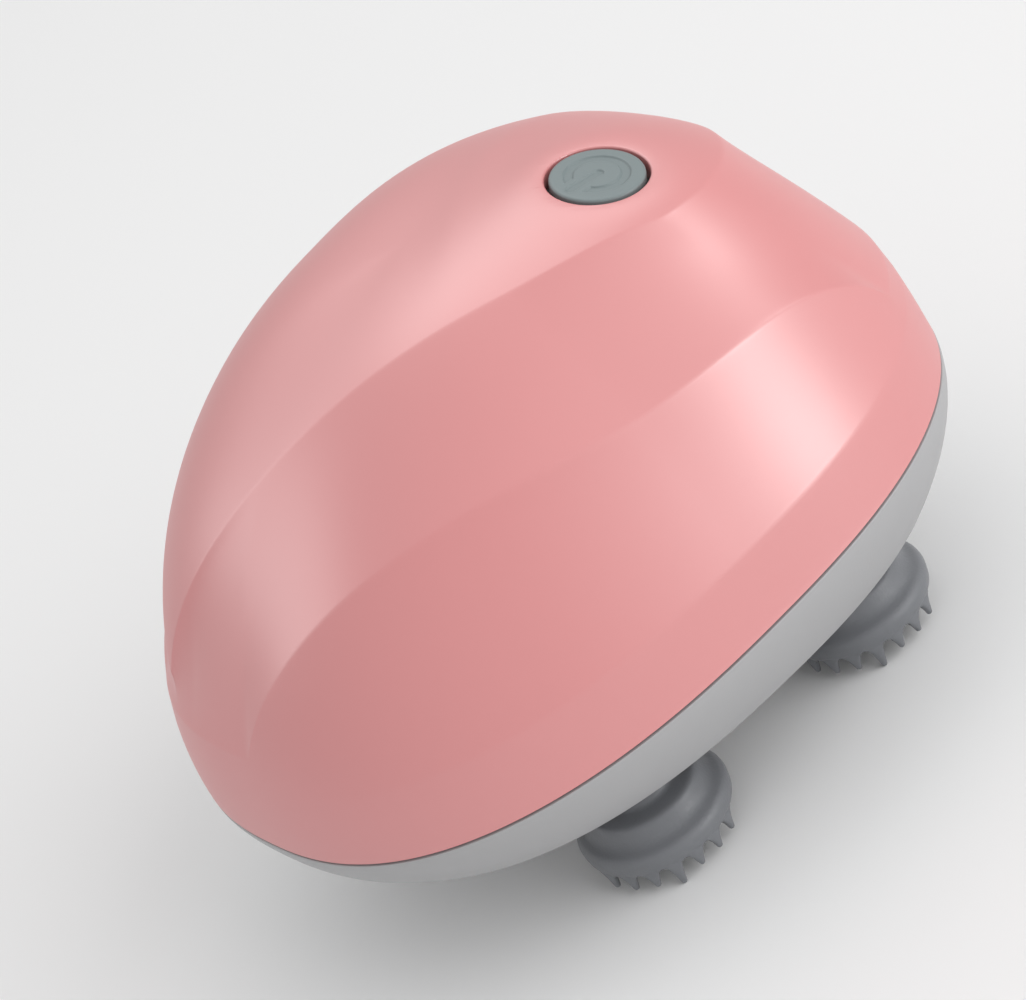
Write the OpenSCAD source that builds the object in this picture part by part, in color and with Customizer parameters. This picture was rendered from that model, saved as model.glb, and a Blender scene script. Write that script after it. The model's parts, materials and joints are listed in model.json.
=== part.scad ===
// Hand-held kneading massager for pets: domed housing, four geared silicone heads
// Origin: on the surface under the middle of the housing, +X to the button end, +Z up

/* [Housing] */
// Length of the housing at the joint line
body_len = 120; // [112:1:130]
// Width of the housing at the joint line
body_wid = 100; // [94:1:110]
// Height of the dome above the joint line
dome_h = 52.3; // [48:0.1:58]
// Height of the joint line above the surface, at the middle
seam_z = 34.2; // [34:0.1:36]
// Rise of the joint line towards the button end, degrees
seam_tilt = 1.5; // [0:0.1:3]
// Height of the underside above the surface
base_clear = 21; // [20:0.1:21.5]
// Thickness of the dome wall
wall = 2.6; // [2.2:0.1:3]
// Thickness of the base floor
floor_t = 2.2; // [1.8:0.1:2.4]
// Thickness of the gasket in the joint
gasket_t = 0.4; // [0.3:0.1:0.8]
// Depth by which the gasket sits back from the outside
gasket_set = 0.5; // [0.3:0.1:0.8]
// Share of the outline that the underside keeps
foot_share = 0.87; // [0.84:0.01:0.9]

/* [Creases] */
// Radius of the long crease beside the top facet, seen from above
long_r = 146; // [140:1:160]
// Radius of the round front end of the top facet
end_r = 24.4; // [22:0.2:26]
// Radius of the middle crease on each side
side_r = 97.5; // [94:0.5:102]
// Height of the low crease as a share of the dome height
low_share = 0.2; // [0.15:0.01:0.3]
// Depth of the hollow band under the top facet
band_dip = 1; // [0:0.1:1.2]
// Depth of the side hollow
side_dip = 0.7; // [0:0.1:1]
// Depth of the lowest hollow
low_dip = 0.3; // [0:0.1:0.5]
// Depth of the shallow hollow behind the top facet
far_dip = 0.6; // [0:0.05:0.8]
// Width at which a hollow has its full depth
full_band = 20; // [15:1:25]
// Rise of the front shoulder behind the button
shoulder_rise = 1.1; // [0:0.1:1.4]

/* [Button] */
// Diameter of the button cap
button_d = 13.2; // [12:0.1:15]
// Gap around the cap
button_gap = 0.6; // [0.3:0.1:0.8]
// Distance of the button from the middle, towards the front
button_x = 26; // [24:0.1:28]
// Distance of the button from the middle, across
button_y = -18; // [-20:0.1:-16]
// Lean of the button away from upright, degrees
button_lean = 21; // [18:0.5:22]
// Direction in which the button leans, seen from above, degrees
button_turn = -46; // [-50:1:-36]
// Depth of the flat spot round the button below the free dome
button_sink = 0.3; // [0:0.05:0.4]
// Radius of the flat spot round the button
flat_r = 10.5; // [9:0.5:12]
// Thickness of the cap
cap_t = 3.25; // [2.8:0.05:4]
// Travel of the button
button_travel = 0.8; // [0.4:0.1:1.2]
// Height by which the cap stands above the dome
cap_rise = 0.25; // [0:0.05:0.6]
// Wall of the tube that guides the button
guide_wall = 1.6; // [1.4:0.1:2.4]
// Length of the tube below the dome
guide_len = 9; // [8:0.1:11]

/* [Heads] */
// Outer radius of a head at its brim
head_r = 11.9; // [11:0.1:13]
// Height of the flat top of a head above the surface
head_top = 10.4; // [10:0.1:11.5]
// Radius of the flat top of a head
crown_r = 8.4; // [7:0.1:9]
// Number of teeth around a head
tooth_count = 20; // [16:4:24]
// Length of a short tooth
tooth_len = 2.8; // [2.4:0.1:3.4]
// Extra length of every fifth tooth
tooth_extra = 1.1; // [0.8:0.05:1.5]
// Radius of a tooth where it leaves the head
tooth_root_r = 1.25; // [1:0.05:1.5]
// Radius of a tooth at its tip
tooth_tip_r = 0.45; // [0.3:0.05:0.7]
// Number of small teeth inside the ring
inner_count = 8; // [6:1:10]
// Turn of the teeth at rest, degrees
head_turn = -121.5; // [-180:0.5:180]
// Radius of the neck above a head
neck_r = 5; // [4.6:0.1:5.6]

/* [Gears] */
// Module of the head gears and the sun gear
head_mod = 0.8; // [0.78:0.01:0.82]
// Teeth of a head gear, the same as the sun gear's
head_teeth = 39; // [38:1:40]
// Module of the wheel and the motor pinion
wheel_mod = 0.6; // [0.58:0.01:0.62]
// Teeth of the wheel
wheel_teeth = 60; // [60:1:60]
// Teeth of the motor pinion
pinion_teeth = 12; // [12:1:12]
// Thickness of the head gears
gear_t = 4; // [3.5:0.1:4.2]
// Thickness of the wheel
wheel_t = 3; // [2.5:0.1:3.4]
// Play between teeth at the pitch circle
backlash = 0.16; // [0.1:0.02:0.24]
// Distance of the head pattern's middle from the housing's middle
train_x = 3.6; // [3:0.1:4.2]
// Radius of a spindle
spindle_r = 2.5; // [2.3:0.05:2.8]
// Radius of the centre shaft
shaft_r = 2; // [1.8:0.05:2.4]
// Running clearance of a shaft in its bore
run_gap = 0.05; // [0.03:0.01:0.08]
// Slip clearance between fixed pieces
slip_gap = 0.1; // [0.05:0.01:0.15]
// Thickness of the gear plate
plate_t = 2.2; // [1.8:0.1:2.6]
// Thickness of the motor bracket
bracket_t = 2.2; // [1.8:0.1:2.6]
// Free height above and below the gears
gear_gap = 0.8; // [0.6:0.1:1]

/* [Drive and power] */
// Radius of the motor can
motor_r = 12; // [11:0.1:12.6]
// Length of the motor can
motor_len = 30; // [26:0.5:32]
// Radius of the motor shaft
motor_shaft_r = 1; // [0.9:0.05:1.2]
// Radius of the battery cell
cell_r = 9.2; // [8.5:0.1:9.4]
// Length of the battery cell
cell_len = 65; // [60:0.5:66]
// Thickness of the cradle under the cell
cradle_t = 1.8; // [1.5:0.1:2.2]
// Thickness of the cradle beside the cell
cradle_side = 1.8; // [1.5:0.1:2]
// Length of cell that stands out of the cradle at each end
cradle_end = 2.5; // [2:0.1:4]
// Width of the strap over the cell
strap_wid = 10; // [8:0.5:12]
// Gap between the cradle and the fore bracket screw
cradle_gap = 0.7; // [0.6:0.1:1]
// Gap between the cradle and the main board
board_gap = 0.9; // [0.6:0.1:1.2]
// Width of the main board, across the housing
board_wid = 18; // [17:0.5:19]
// Thickness of a circuit board
board_t = 1.6; // [1.2:0.1:1.8]
// Width of the charging socket
socket_wid = 9; // [8.9:0.1:9.3]
// Height of the charging socket
socket_h = 3.3; // [3.2:0.1:3.6]
// Depth of the charging socket
socket_len = 8.6; // [8:0.1:9]
// Width of the port cover
cover_wid = 16; // [15:0.1:18]
// Height of the port cover
cover_h = 8.4; // [8:0.1:9]
// Thickness of the port cover
cover_t = 1.2; // [1:0.1:1.4]

/* [Hidden] */

$fn = 48;
columns = 96;
eps = 0.01;

pink = [0.89, 0.62, 0.62];
shell_grey = [0.68, 0.68, 0.69];
head_grey = [0.33, 0.34, 0.36];
button_grey = [0.55, 0.6, 0.6];

// Outline of the joint line: a superellipse, a little wider towards the button
outline_pow = 2.47;
egg = 0.087;
function signed_pow(v, p) = sign(v) * pow(abs(v), p);
function rim_point(a, inset) =
    let (c = signed_pow(cos(a), 2 / outline_pow), s = signed_pow(sin(a), 2 / outline_pow))
    [(body_len / 2 - inset) * c, (body_wid / 2 - inset) * s * (1 + egg * c)];
function seam_at(x) = seam_z + x * tan(seam_tilt);

// Dome: each upright section through the apex is a superellipse arc
apex = [5, 0];
function crown_pow(a) = 1.81 + 0.24 * cos(a) + 0.32 * cos(2 * a);
function side_pow(a) = 2.66 + 0.3 * cos(a) - 0.3 * cos(2 * a);
function reach(a, t) = pow(1 - pow(t, crown_pow(a)), 1 / side_pow(a));
function share_at(a, f) = pow(1 - pow(min(f, 1), side_pow(a)), 1 / crown_pow(a));
shoulder = [46, -12];
shoulder_spread = 14;
function bell(p, c, spread) = exp(-(pow(p.x - c.x, 2) + pow(p.y - c.y, 2)) / (2 * spread * spread));
function dome_point(a, t, inset) =
    let (r = rim_point(a, inset), f = reach(a, t), x = apex.x + (r.x - apex.x) * f,
        rise = shoulder_rise * bell([x, r.y * f], shoulder, shoulder_spread) * t * t * (3 - 2 * t))
    [x, r.y * f, seam_at(x * (1 - t)) + (dome_h - inset) * t + rise];
function outward(p) =
    let (v = [(p.x - apex.x) / pow(body_len / 2, 2), p.y / pow(body_wid / 2, 2),
        (p.z - seam_z) / pow(dome_h, 2)])
    v / norm(v);

// Creases: circles seen from above, met by a ray from the apex
end_c = [24.5, -5.4];
long_c = [56.5, end_c.y - end_r + sqrt(pow(long_r, 2) - pow(56.5 - end_c.x, 2))];
back_c = [-8, -60];
back_r = norm(end_c - back_c) + end_r;
near_c = [19.5, side_r - 42];
far_c = [12, 48 - side_r];
function ray_to(a, c, r) =
    let (d = rim_point(a, 0) - apex, e = apex - c, q = d * d, b = e * d, k = e * e - r * r)
    (-b + sqrt(max(0, b * b - q * k))) / q;
joint_y = back_c.y + back_r * (end_c.y - back_c.y) / norm(end_c - back_c);
function facet_reach(a) =
    let (f = ray_to(a, end_c, end_r), p = apex + (rim_point(a, 0) - apex) * f)
    p.x > end_c.x && p.y < joint_y ? f : min(ray_to(a, long_c, long_r), ray_to(a, back_c, back_r));
function facet_share(a) = share_at(a, facet_reach(a));
function side_share(a) =
    max(low_share + 0.08, share_at(a, min(ray_to(a, near_c, side_r), ray_to(a, far_c, side_r))));

// Rows of the outer dome: shares of the height between two creases, and the dip there
low_rows = [0, 0.5];
band_rows = [0, 0.33, 0.67];
top_rows = [0, 0.15, 0.32, 0.52, 0.74, 0.93];
function hollow(s, depth) = -depth * 4 * s * (1 - s);
function fade(a) = pow(sin(a), 2);
far_edge = [78.6, -96.6];
far_edge_r = 114;
far_spread = 10;
function far_hollow(p) =
    let (d = max(0, norm([p.x, p.y] - far_edge) - far_edge_r))
    -far_dip * d / far_spread * exp(1 - d / far_spread) * bell(p, [20, 14], 22);
function flat_spot(p) =
    let (v = p - [button_x, button_y, button_z - gasket_t / 2], h = v * button_up,
        away = sqrt(max(0, v * v - h * h)))
    -h / (1 + pow(away / flat_r, 6)) * button_up;
function between(a, rows, lo, hi, depth) =
    let (width = norm(dome_point(a, hi, 0) - dome_point(a, lo, 0)), deep = depth * min(1, width / full_band))
    [for (s = rows)
        let (p = dome_point(a, lo + (hi - lo) * s, 0))
        p + outward(p) * (hollow(s, deep) + far_hollow(p)) + flat_spot(p)];
function outer_column(a) =
    let (mid = side_share(a), top = facet_share(a))
    concat(between(a, low_rows, 0.005, low_share, low_dip * fade(a)),
        between(a, band_rows, low_share, mid, side_dip * fade(a)),
        between(a, band_rows, mid, top, band_dip),
        between(a, top_rows, top, 1, 0));
inner_rows = [0.005, 0.15, 0.35, 0.6, 0.8, 0.93, 0.985];
function inner_column(a) = [for (t = inner_rows) dome_point(a, t, wall)];
function shifted(pts, z) = [for (p = pts) [p.x, p.y, p.z + z]];

// Skin between columns of points that run upwards, closed by one point at the top
function strip(n, rows, start, flip) =
    [for (i = [0:n - 1], j = [0:rows - 2])
        let (a = start + i * rows + j, b = start + ((i + 1) % n) * rows + j)
        flip ? [a, a + 1, b + 1, b] : [a, b, b + 1, a + 1]];
function fan(n, rows, start, tip, flip) =
    [for (i = [0:n - 1])
        let (a = start + i * rows + rows - 1, b = start + ((i + 1) % n) * rows + rows - 1)
        flip ? [a, tip, b] : [a, b, tip]];
function rim_strip(n, rows_a, start_a, rows_b, start_b) =
    [for (i = [0:n - 1])
        let (a = start_a + i * rows_a, b = start_a + ((i + 1) % n) * rows_a,
            c = start_b + i * rows_b, d = start_b + ((i + 1) % n) * rows_b)
        [a, c, d, b]];
function triangles(faces) =
    [for (f = faces) each len(f) == 3 ? [f] : [[f[0], f[1], f[2]], [f[0], f[2], f[3]]]];
function reversed(faces) = [for (f = faces) [f[2], f[1], f[0]]];

// Pieces stack up from the base floor
floor_top = base_clear + floor_t;
flange_t = 1.2;
gear_z = floor_top + flange_t + gear_gap;
plate_z = gear_z + gear_t + gear_gap;
wheel_z = plate_z + plate_t + gear_gap;
bracket_z = wheel_z + wheel_t + gear_gap;
deck_z = bracket_z + bracket_t;

// Gear train: the sun gear sits in the middle of the four head gears
sun_teeth = head_teeth;
train_dist = head_mod * (head_teeth + sun_teeth) / 2;
head_off = train_dist / sqrt(2);
train_c = [train_x, 0];
corners = [[-1, -1], [1, -1], [1, 1], [-1, 1]];
function head_at(k) = train_c + head_off * corners[k];
function angle_of(v) = atan2(v.y, v.x);
function meshed(dir, turn, teeth, mate_teeth) =
    dir + 180 - (0.5 - (dir - turn) * teeth / 360) * 360 / mate_teeth;
motor_dist = wheel_mod * (wheel_teeth + pinion_teeth) / 2;
motor_c = train_c - [motor_dist, 0];

// Posts that carry the gear plate and bracket, and the posts that join the shells
post_r = 3;
screw_r = 1.2;
head_screw_r = 2.3;
post_reach = 28;
back_post = motor_dist + motor_r + head_screw_r + 1;
post_at = [[post_reach, 0], [0, post_reach], [-back_post, 0], [0, -post_reach]];
post_inset = 11.5;
fore_post = [body_len / 2 - post_inset, 13];
shell_post_at = [fore_post, [train_x, body_wid / 2 - post_inset], [post_inset - body_len / 2, 0],
    [train_x, post_inset - body_wid / 2], [fore_post.x, -fore_post.y]];
boss_h = 12;

// Button frame: on the dome, square to it, pointing away from the apex
button_way = angle_of([button_x, button_y] - apex);
button_a = button_column(-90, 0);
function button_column(lo, hi) =
    let (m = (lo + hi) / 2)
    hi - lo < 0.01 ? m : angle_of(rim_point(m, 0) - apex) < button_way ? button_column(m, hi)
    : button_column(lo, m);
button_f = norm([button_x, button_y] - apex) / norm(rim_point(button_a, 0) - apex);
button_z = dome_point(button_a, share_at(button_a, button_f), 0).z + gasket_t / 2 - button_sink;
button_up = [sin(button_lean) * cos(button_turn), sin(button_lean) * sin(button_turn), cos(button_lean)];
hole_r = button_d / 2 + button_gap;
bore_r = hole_r + 0.8;
cap_low = cap_rise - cap_t;
guide_r = bore_r + guide_wall;

module at_button() {
    translate([button_x, button_y, button_z])
        rotate([0, 0, button_turn])
            rotate([0, button_lean, 0])
                children();
}

module ring(outer, inner, h) {
    difference() {
        cylinder(r = outer, h = h);
        translate([0, 0, -eps]) cylinder(r = inner, h = h + 2 * eps);
    }
}

module dome_skin() {
    outer = [for (i = [0:columns - 1]) each shifted(outer_column(i * 360 / columns), gasket_t / 2)];
    inner = [for (i = [0:columns - 1]) each shifted(inner_column(i * 360 / columns), gasket_t / 2)];
    rows_out = len(outer) / columns;
    rows_in = len(inner_rows);
    top_out = len(outer) + len(inner);
    tips = [[apex.x, apex.y, seam_z + dome_h + gasket_t / 2],
        [apex.x, apex.y, seam_z + dome_h - wall + gasket_t / 2]];
    faces = concat(strip(columns, rows_out, 0, false), fan(columns, rows_out, 0, top_out, false),
        strip(columns, rows_in, len(outer), true), fan(columns, rows_in, len(outer), top_out + 1, true),
        rim_strip(columns, rows_out, 0, rows_in, len(outer)));
    polyhedron(concat(outer, inner, tips), reversed(triangles(faces)));
}

// Charging port: in the front end wall, on the level of the main board
board_post_h = 2.4;
port_z = deck_z + board_post_h + board_t + socket_h / 2;
port_out = body_len / 2;
port_gap = 0.35;
pocket_x = port_out - cover_t - 0.9;

module port_cut() {
    translate([port_out - 8, -socket_wid / 2 - port_gap, port_z - socket_h / 2 - port_gap])
        cube([10, socket_wid + 2 * port_gap, socket_h + 2 * port_gap]);
    translate([pocket_x, -cover_wid / 2 - port_gap, port_z - cover_h / 2 - port_gap])
        cube([6, cover_wid + 2 * port_gap, cover_h + 2 * port_gap]);
}

module shell_boss(p) {
    z = seam_at(p.x) + gasket_t / 2;
    out = angle_of(p - [train_x, 0]);
    translate([p.x, p.y, z])
        rotate([0, 0, out]) {
            cylinder(r = post_r, h = boss_h);
            translate([0, -1, 0.6]) cube([post_inset - wall * 0.6, 2, 5]);
        }
}

module upper_shell() {
    color(pink)
        difference() {
            union() {
                dome_skin();
                for (p = shell_post_at) shell_boss(p);
                at_button()
                    translate([0, 0, -guide_len]) cylinder(r = guide_r, h = guide_len - wall / 2);
            }
            for (p = shell_post_at)
                translate([p.x, p.y, seam_at(p.x) - 1]) cylinder(r = screw_r, h = boss_h - 1);
            at_button() {
                translate([0, 0, -guide_len - 1]) cylinder(r = hole_r, h = guide_len + 8);
                translate([0, 0, -guide_len - 1]) cylinder(r = bore_r, h = guide_len + 1 + cap_low + 0.1);
            }
            port_cut();
        }
}

// Base shell: the outline draws in towards a flat underside
base_rows = [0, 0.25, 0.5, 0.7, 0.85, 1];
function draw_in(u) = 1 - (1 - foot_share) * pow(u, 1.7);
function base_point(a, u, inset, low) =
    let (r = rim_point(a, inset) * draw_in(u), top = seam_at(r.x) - gasket_t / 2)
    [r.x, r.y, top + (low - top) * u];
function base_column(a, inset, low) = [for (u = base_rows) base_point(a, u, inset, low)];

module base_skin() {
    outer = [for (i = [0:columns - 1]) each base_column(i * 360 / columns, 0, base_clear)];
    inner = [for (i = [0:columns - 1]) each base_column(i * 360 / columns, wall, floor_top)];
    rows = len(base_rows);
    hub = len(outer) + len(inner);
    faces = concat(strip(columns, rows, 0, true), fan(columns, rows, 0, hub, true),
        strip(columns, rows, len(outer), false), fan(columns, rows, len(outer), hub + 1, false),
        rim_strip(columns, rows, len(outer), rows, 0));
    polyhedron(concat(outer, inner, [[0, 0, base_clear], [0, 0, floor_top]]), reversed(triangles(faces)));
}

bush_r = 4.2;
flange_r = 5.6;
step_r = 4.6;
seal_step = 1.4;

module base_shell() {
    color(shell_grey)
        difference() {
            union() {
                base_skin();
                for (p = post_at)
                    translate([train_x + p.x, p.y, floor_top - 1])
                        cylinder(r = post_r, h = plate_z - floor_top + 1);
                for (p = shell_post_at)
                    translate([p.x, p.y, floor_top - 1])
                        cylinder(r = post_r, h = seam_at(p.x) - gasket_t / 2 - floor_top + 1);
                translate([train_x, 0, floor_top - 1])
                    cylinder(r = 4, h = 1 + gear_z - floor_top - gear_gap / 2);
            }
            for (k = [0:3])
                translate([head_at(k).x, head_at(k).y, base_clear - 1])
                    cylinder(r = bush_r + slip_gap, h = 6);
            for (p = post_at)
                translate([train_x + p.x, p.y, floor_top + 0.5]) cylinder(r = screw_r, h = 12);
            for (p = shell_post_at) {
                translate([p.x, p.y, base_clear - 1]) cylinder(r = screw_r + slip_gap, h = 20);
                translate([p.x, p.y, base_clear - 1]) cylinder(r = head_screw_r + slip_gap, h = 3.4);
            }
            translate([train_x, 0, floor_top - 0.6]) cylinder(r = shaft_r + run_gap, h = 6);
        }
}

module seam_gasket() {
    rows = 2;
    outer = [for (i = [0:columns - 1], h = [-1, 1])
        let (r = rim_point(i * 360 / columns, gasket_set)) [r.x, r.y, seam_at(r.x) + h * gasket_t / 2]];
    inner = [for (i = [0:columns - 1], h = [-1, 1])
        let (r = rim_point(i * 360 / columns, wall - 0.2)) [r.x, r.y, seam_at(r.x) + h * gasket_t / 2]];
    top = [for (i = [0:columns - 1])
        let (n = columns, a = 2 * i + 1, b = 2 * ((i + 1) % n) + 1) [a, b, b + 2 * n, a + 2 * n]];
    faces = concat(strip(columns, rows, 0, false), strip(columns, rows, len(outer), true),
        rim_strip(columns, rows, 0, rows, len(outer)), top);
    color("dimgray")
        polyhedron(concat(outer, inner), reversed(triangles(faces)));
}

// Button parts, in the button's own frame
stem_r = 2;
flange_h = 2;
seal_t = 0.6;
switch_gap = 0.4;
stem_low = -guide_len - seal_t - switch_gap;
plunger_r = 1.7;
plunger_h = 1 + button_travel;
switch_side = 6.2;
switch_h = 3.6;
switch_top = stem_low - button_travel - 0.2;
carrier_low = switch_top - switch_h;

mark_r = button_d * 0.345;
mark_w = button_d * 0.097;
mark_deep = 0.35;
module power_mark() {
    rotate([0, 0, 180 - button_turn])
        translate([0, 0, cap_rise - mark_deep]) {
            difference() {
                ring(mark_r, mark_r - mark_w, 1);
                translate([0, -mark_w * 1.35, -1]) cube([mark_r + 1, mark_w * 2.7, 3]);
            }
            translate([-mark_w / 4, -mark_w / 2, 0]) cube([mark_r * 1.15, mark_w, 1]);
            translate([-mark_w / 4, 0, 0]) cylinder(r = mark_w / 2, h = 1);
        }
}

module power_button() {
    r = button_d / 2;
    color(button_grey)
        at_button()
            difference() {
                rotate_extrude()
                    polygon([[0, cap_low - flange_h], [bore_r - run_gap, cap_low - flange_h],
                        [bore_r - run_gap, cap_low], [r, cap_low], [r, cap_rise - 0.4],
                        [r - 0.12, cap_rise - 0.12], [r - 0.4, cap_rise], [0, cap_rise]]);
                power_mark();
                translate([0, 0, cap_low - flange_h - 1]) cylinder(r = stem_r + slip_gap / 2, h = 3);
            }
}

module button_stem() {
    color("whitesmoke")
        at_button()
            translate([0, 0, stem_low]) cylinder(r = stem_r, h = cap_low - flange_h + 2 - stem_low);
}

module switch_plunger() {
    color("black")
        at_button()
            translate([0, 0, stem_low - plunger_h]) cylinder(r = plunger_r, h = plunger_h);
}

module button_seal() {
    color("gray")
        at_button()
            translate([0, 0, -guide_len - seal_t]) ring(guide_r, stem_r + 0.5, seal_t);
}

module switch_carrier() {
    color("dimgray")
        at_button()
            translate([0, 0, carrier_low]) ring(guide_r, guide_r - 1.2, -guide_len - seal_t - carrier_low);
}

module switch_board() {
    color("seagreen")
        at_button()
            translate([0, 0, carrier_low - board_t]) cylinder(r = guide_r, h = board_t);
}

module push_switch() {
    color([0.2, 0.2, 0.22])
        at_button()
            difference() {
                translate([-switch_side / 2, -switch_side / 2, carrier_low])
                    cube([switch_side, switch_side, switch_h]);
                translate([0, 0, switch_top - plunger_h - 0.1])
                    cylinder(r = plunger_r + run_gap, h = plunger_h + 1);
            }
}

// Heads: silicone bell with a ring of teeth, over a hard core on the spindle
core_r = 7.6;
core_top = head_top - 1.2;
core_low = core_top - 1.6;
hub_r = neck_r - 1.3;
neck_top = base_clear - 2.4;
tooth_root_z = tooth_extra + tooth_len;
brim_z = tooth_root_z + 2.1;
ring_r = head_r - 0.8;
inner_len = core_low - 1 - tooth_extra;
module head_profile() {
    polygon([[0, core_low - 1.2], [core_r, core_low - 1.2], [ring_r - tooth_root_r - 0.3, tooth_root_z],
        [head_r - 0.5, tooth_root_z], [head_r, brim_z - 0.3], [head_r - 0.1, brim_z + 0.2],
        [head_r - 0.6, brim_z + 0.85], [head_r - 1.2, brim_z + 1.2], [head_r - 1.7, brim_z + 1.5],
        [head_r - 2.3, brim_z + 2.1],
        [crown_r + 0.7, head_top - 1.3], [crown_r + 0.4, head_top - 0.5], [crown_r - 0.2, head_top],
        [neck_r + 0.6, head_top], [neck_r, head_top + 0.6], [neck_r, neck_top], [0, neck_top]]);
}
module core_profile(gap) {
    polygon([[0, core_low - gap], [core_r - 1 + gap, core_low - gap], [core_r - 1 + gap, core_top + gap],
        [hub_r + gap, core_top + gap], [hub_r + gap, neck_top + gap], [0, neck_top + gap]]);
}

module tooth(long) {
    tip_z = long ? 0 : tooth_extra;
    translate([0, 0, tip_z])
        cylinder(r1 = tooth_tip_r, r2 = tooth_root_r, h = tooth_root_z + 0.5 - tip_z, $fn = 16);
}

module massage_head(k) {
    step = 360 / tooth_count;
    color(head_grey)
        translate([head_at(k).x, head_at(k).y, 0])
            rotate([0, 0, head_turn]) {
                difference() {
                    rotate_extrude() head_profile();
                    rotate_extrude() core_profile(slip_gap);
                    translate([0, 0, core_low - 0.5]) cylinder(r = spindle_r + slip_gap, h = 4);
                }
                for (i = [0:tooth_count - 1])
                    rotate([0, 0, i * step]) translate([ring_r, 0, 0]) tooth(i % 5 == 0);
                for (i = [0:inner_count - 1])
                    rotate([0, 0, (i + 0.5) * 360 / inner_count])
                        translate([core_r * 0.7, 0, tooth_extra])
                            cylinder(r1 = tooth_tip_r, r2 = tooth_root_r, h = inner_len, $fn = 16);
            }
}

module head_core(k) {
    color("silver")
        translate([head_at(k).x, head_at(k).y, 0])
            difference() {
                rotate_extrude() core_profile(0);
                translate([0, 0, core_low - 1]) cylinder(r = spindle_r + slip_gap / 4, h = 30);
            }
}

module spindle(k) {
    color("silver")
        translate([head_at(k).x, head_at(k).y, core_low])
            cylinder(r = spindle_r, h = plate_z + plate_t - core_low);
}

// Flanks are straight between root, pitch and tip circles
function gear_outline(teeth, m) =
    let (pitch = m * teeth / 2, tip = pitch + 0.85 * m, root = pitch - 1.2 * m,
        play = backlash / 4 / pitch * 180 / PI, half = 90 / teeth - play,
        lean = tan(20) * 180 / PI,
        tip_half = half - lean * (tip - pitch) / pitch, root_half = half + lean * (pitch - root) / pitch)
    [for (i = [0:teeth - 1])
        let (a = i * 360 / teeth)
        each [[root, a - root_half], [tip, a - tip_half], [tip, a + tip_half], [root, a + root_half]]];
function polar(pts) = [for (p = pts) [p[0] * cos(p[1]), p[0] * sin(p[1])]];

module gear(teeth, m, h, bore) {
    difference() {
        linear_extrude(h) polygon(polar(gear_outline(teeth, m)));
        translate([0, 0, -1]) cylinder(r = bore, h = h + 2);
    }
}

module head_gear(k) {
    dir = angle_of(corners[k]);
    color("ivory")
        translate([head_at(k).x, head_at(k).y, gear_z])
            rotate([0, 0, meshed(dir, 0, sun_teeth, head_teeth)])
                gear(head_teeth, head_mod, gear_t, spindle_r + slip_gap / 4);
}

module spindle_bush(k) {
    color("goldenrod")
        translate([head_at(k).x, head_at(k).y, base_clear])
            difference() {
                union() {
                    cylinder(r = bush_r, h = floor_t + flange_t);
                    translate([0, 0, floor_t]) cylinder(r = flange_r, h = flange_t);
                }
                translate([0, 0, -1]) cylinder(r = spindle_r + run_gap, h = 8);
            }
}

module shaft_seal(k) {
    color([0.15, 0.15, 0.16])
        translate([head_at(k).x, head_at(k).y, base_clear - seal_step])
            ring(flange_r, spindle_r + run_gap, seal_step);
}

module sun_gear() {
    color("ivory")
        translate([train_x, 0, gear_z])
            gear(sun_teeth, head_mod, gear_t, shaft_r + slip_gap / 4);
}

module drive_wheel() {
    color("ivory")
        translate([train_x, 0, wheel_z])
            gear(wheel_teeth, wheel_mod, wheel_t, shaft_r + slip_gap / 4);
}

module drive_shaft() {
    color("silver")
        translate([train_x, 0, floor_top - 0.4]) cylinder(r = shaft_r, h = deck_z - floor_top + 0.2);
}

// Plate and bracket share one plan: a cross of arms out to the posts
arm_w = 9;
module arms(t) {
    for (p = post_at) {
        translate([p.x, p.y, 0]) cylinder(r = arm_w / 2, h = t);
        rotate([0, 0, angle_of(p)]) translate([0, -arm_w / 2, 0]) cube([norm(p), arm_w, t]);
    }
}

module post_holes(t) {
    for (p = post_at)
        translate([p.x, p.y, -1]) cylinder(r = screw_r + slip_gap, h = t + 2);
}

module gear_plate() {
    color("gainsboro")
        translate([train_x, 0, plate_z])
            difference() {
                union() {
                    arms(plate_t);
                    for (k = [0:3])
                        rotate([0, 0, angle_of(corners[k])]) {
                            translate([0, -arm_w / 2, 0]) cube([train_dist, arm_w, plate_t]);
                            translate([train_dist, 0, 0]) cylinder(r = arm_w / 2 + 1, h = plate_t);
                        }
                    for (p = post_at)
                        translate([p.x, p.y, plate_t])
                            cylinder(r = post_r, h = bracket_z - plate_z - plate_t);
                }
                for (k = [0:3])
                    translate([head_off * corners[k].x, head_off * corners[k].y, -1])
                        cylinder(r = spindle_r + run_gap, h = plate_t + 2);
                translate([0, 0, -1]) cylinder(r = shaft_r + run_gap, h = plate_t + 2);
                post_holes(bracket_z - plate_z);
            }
}

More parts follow.
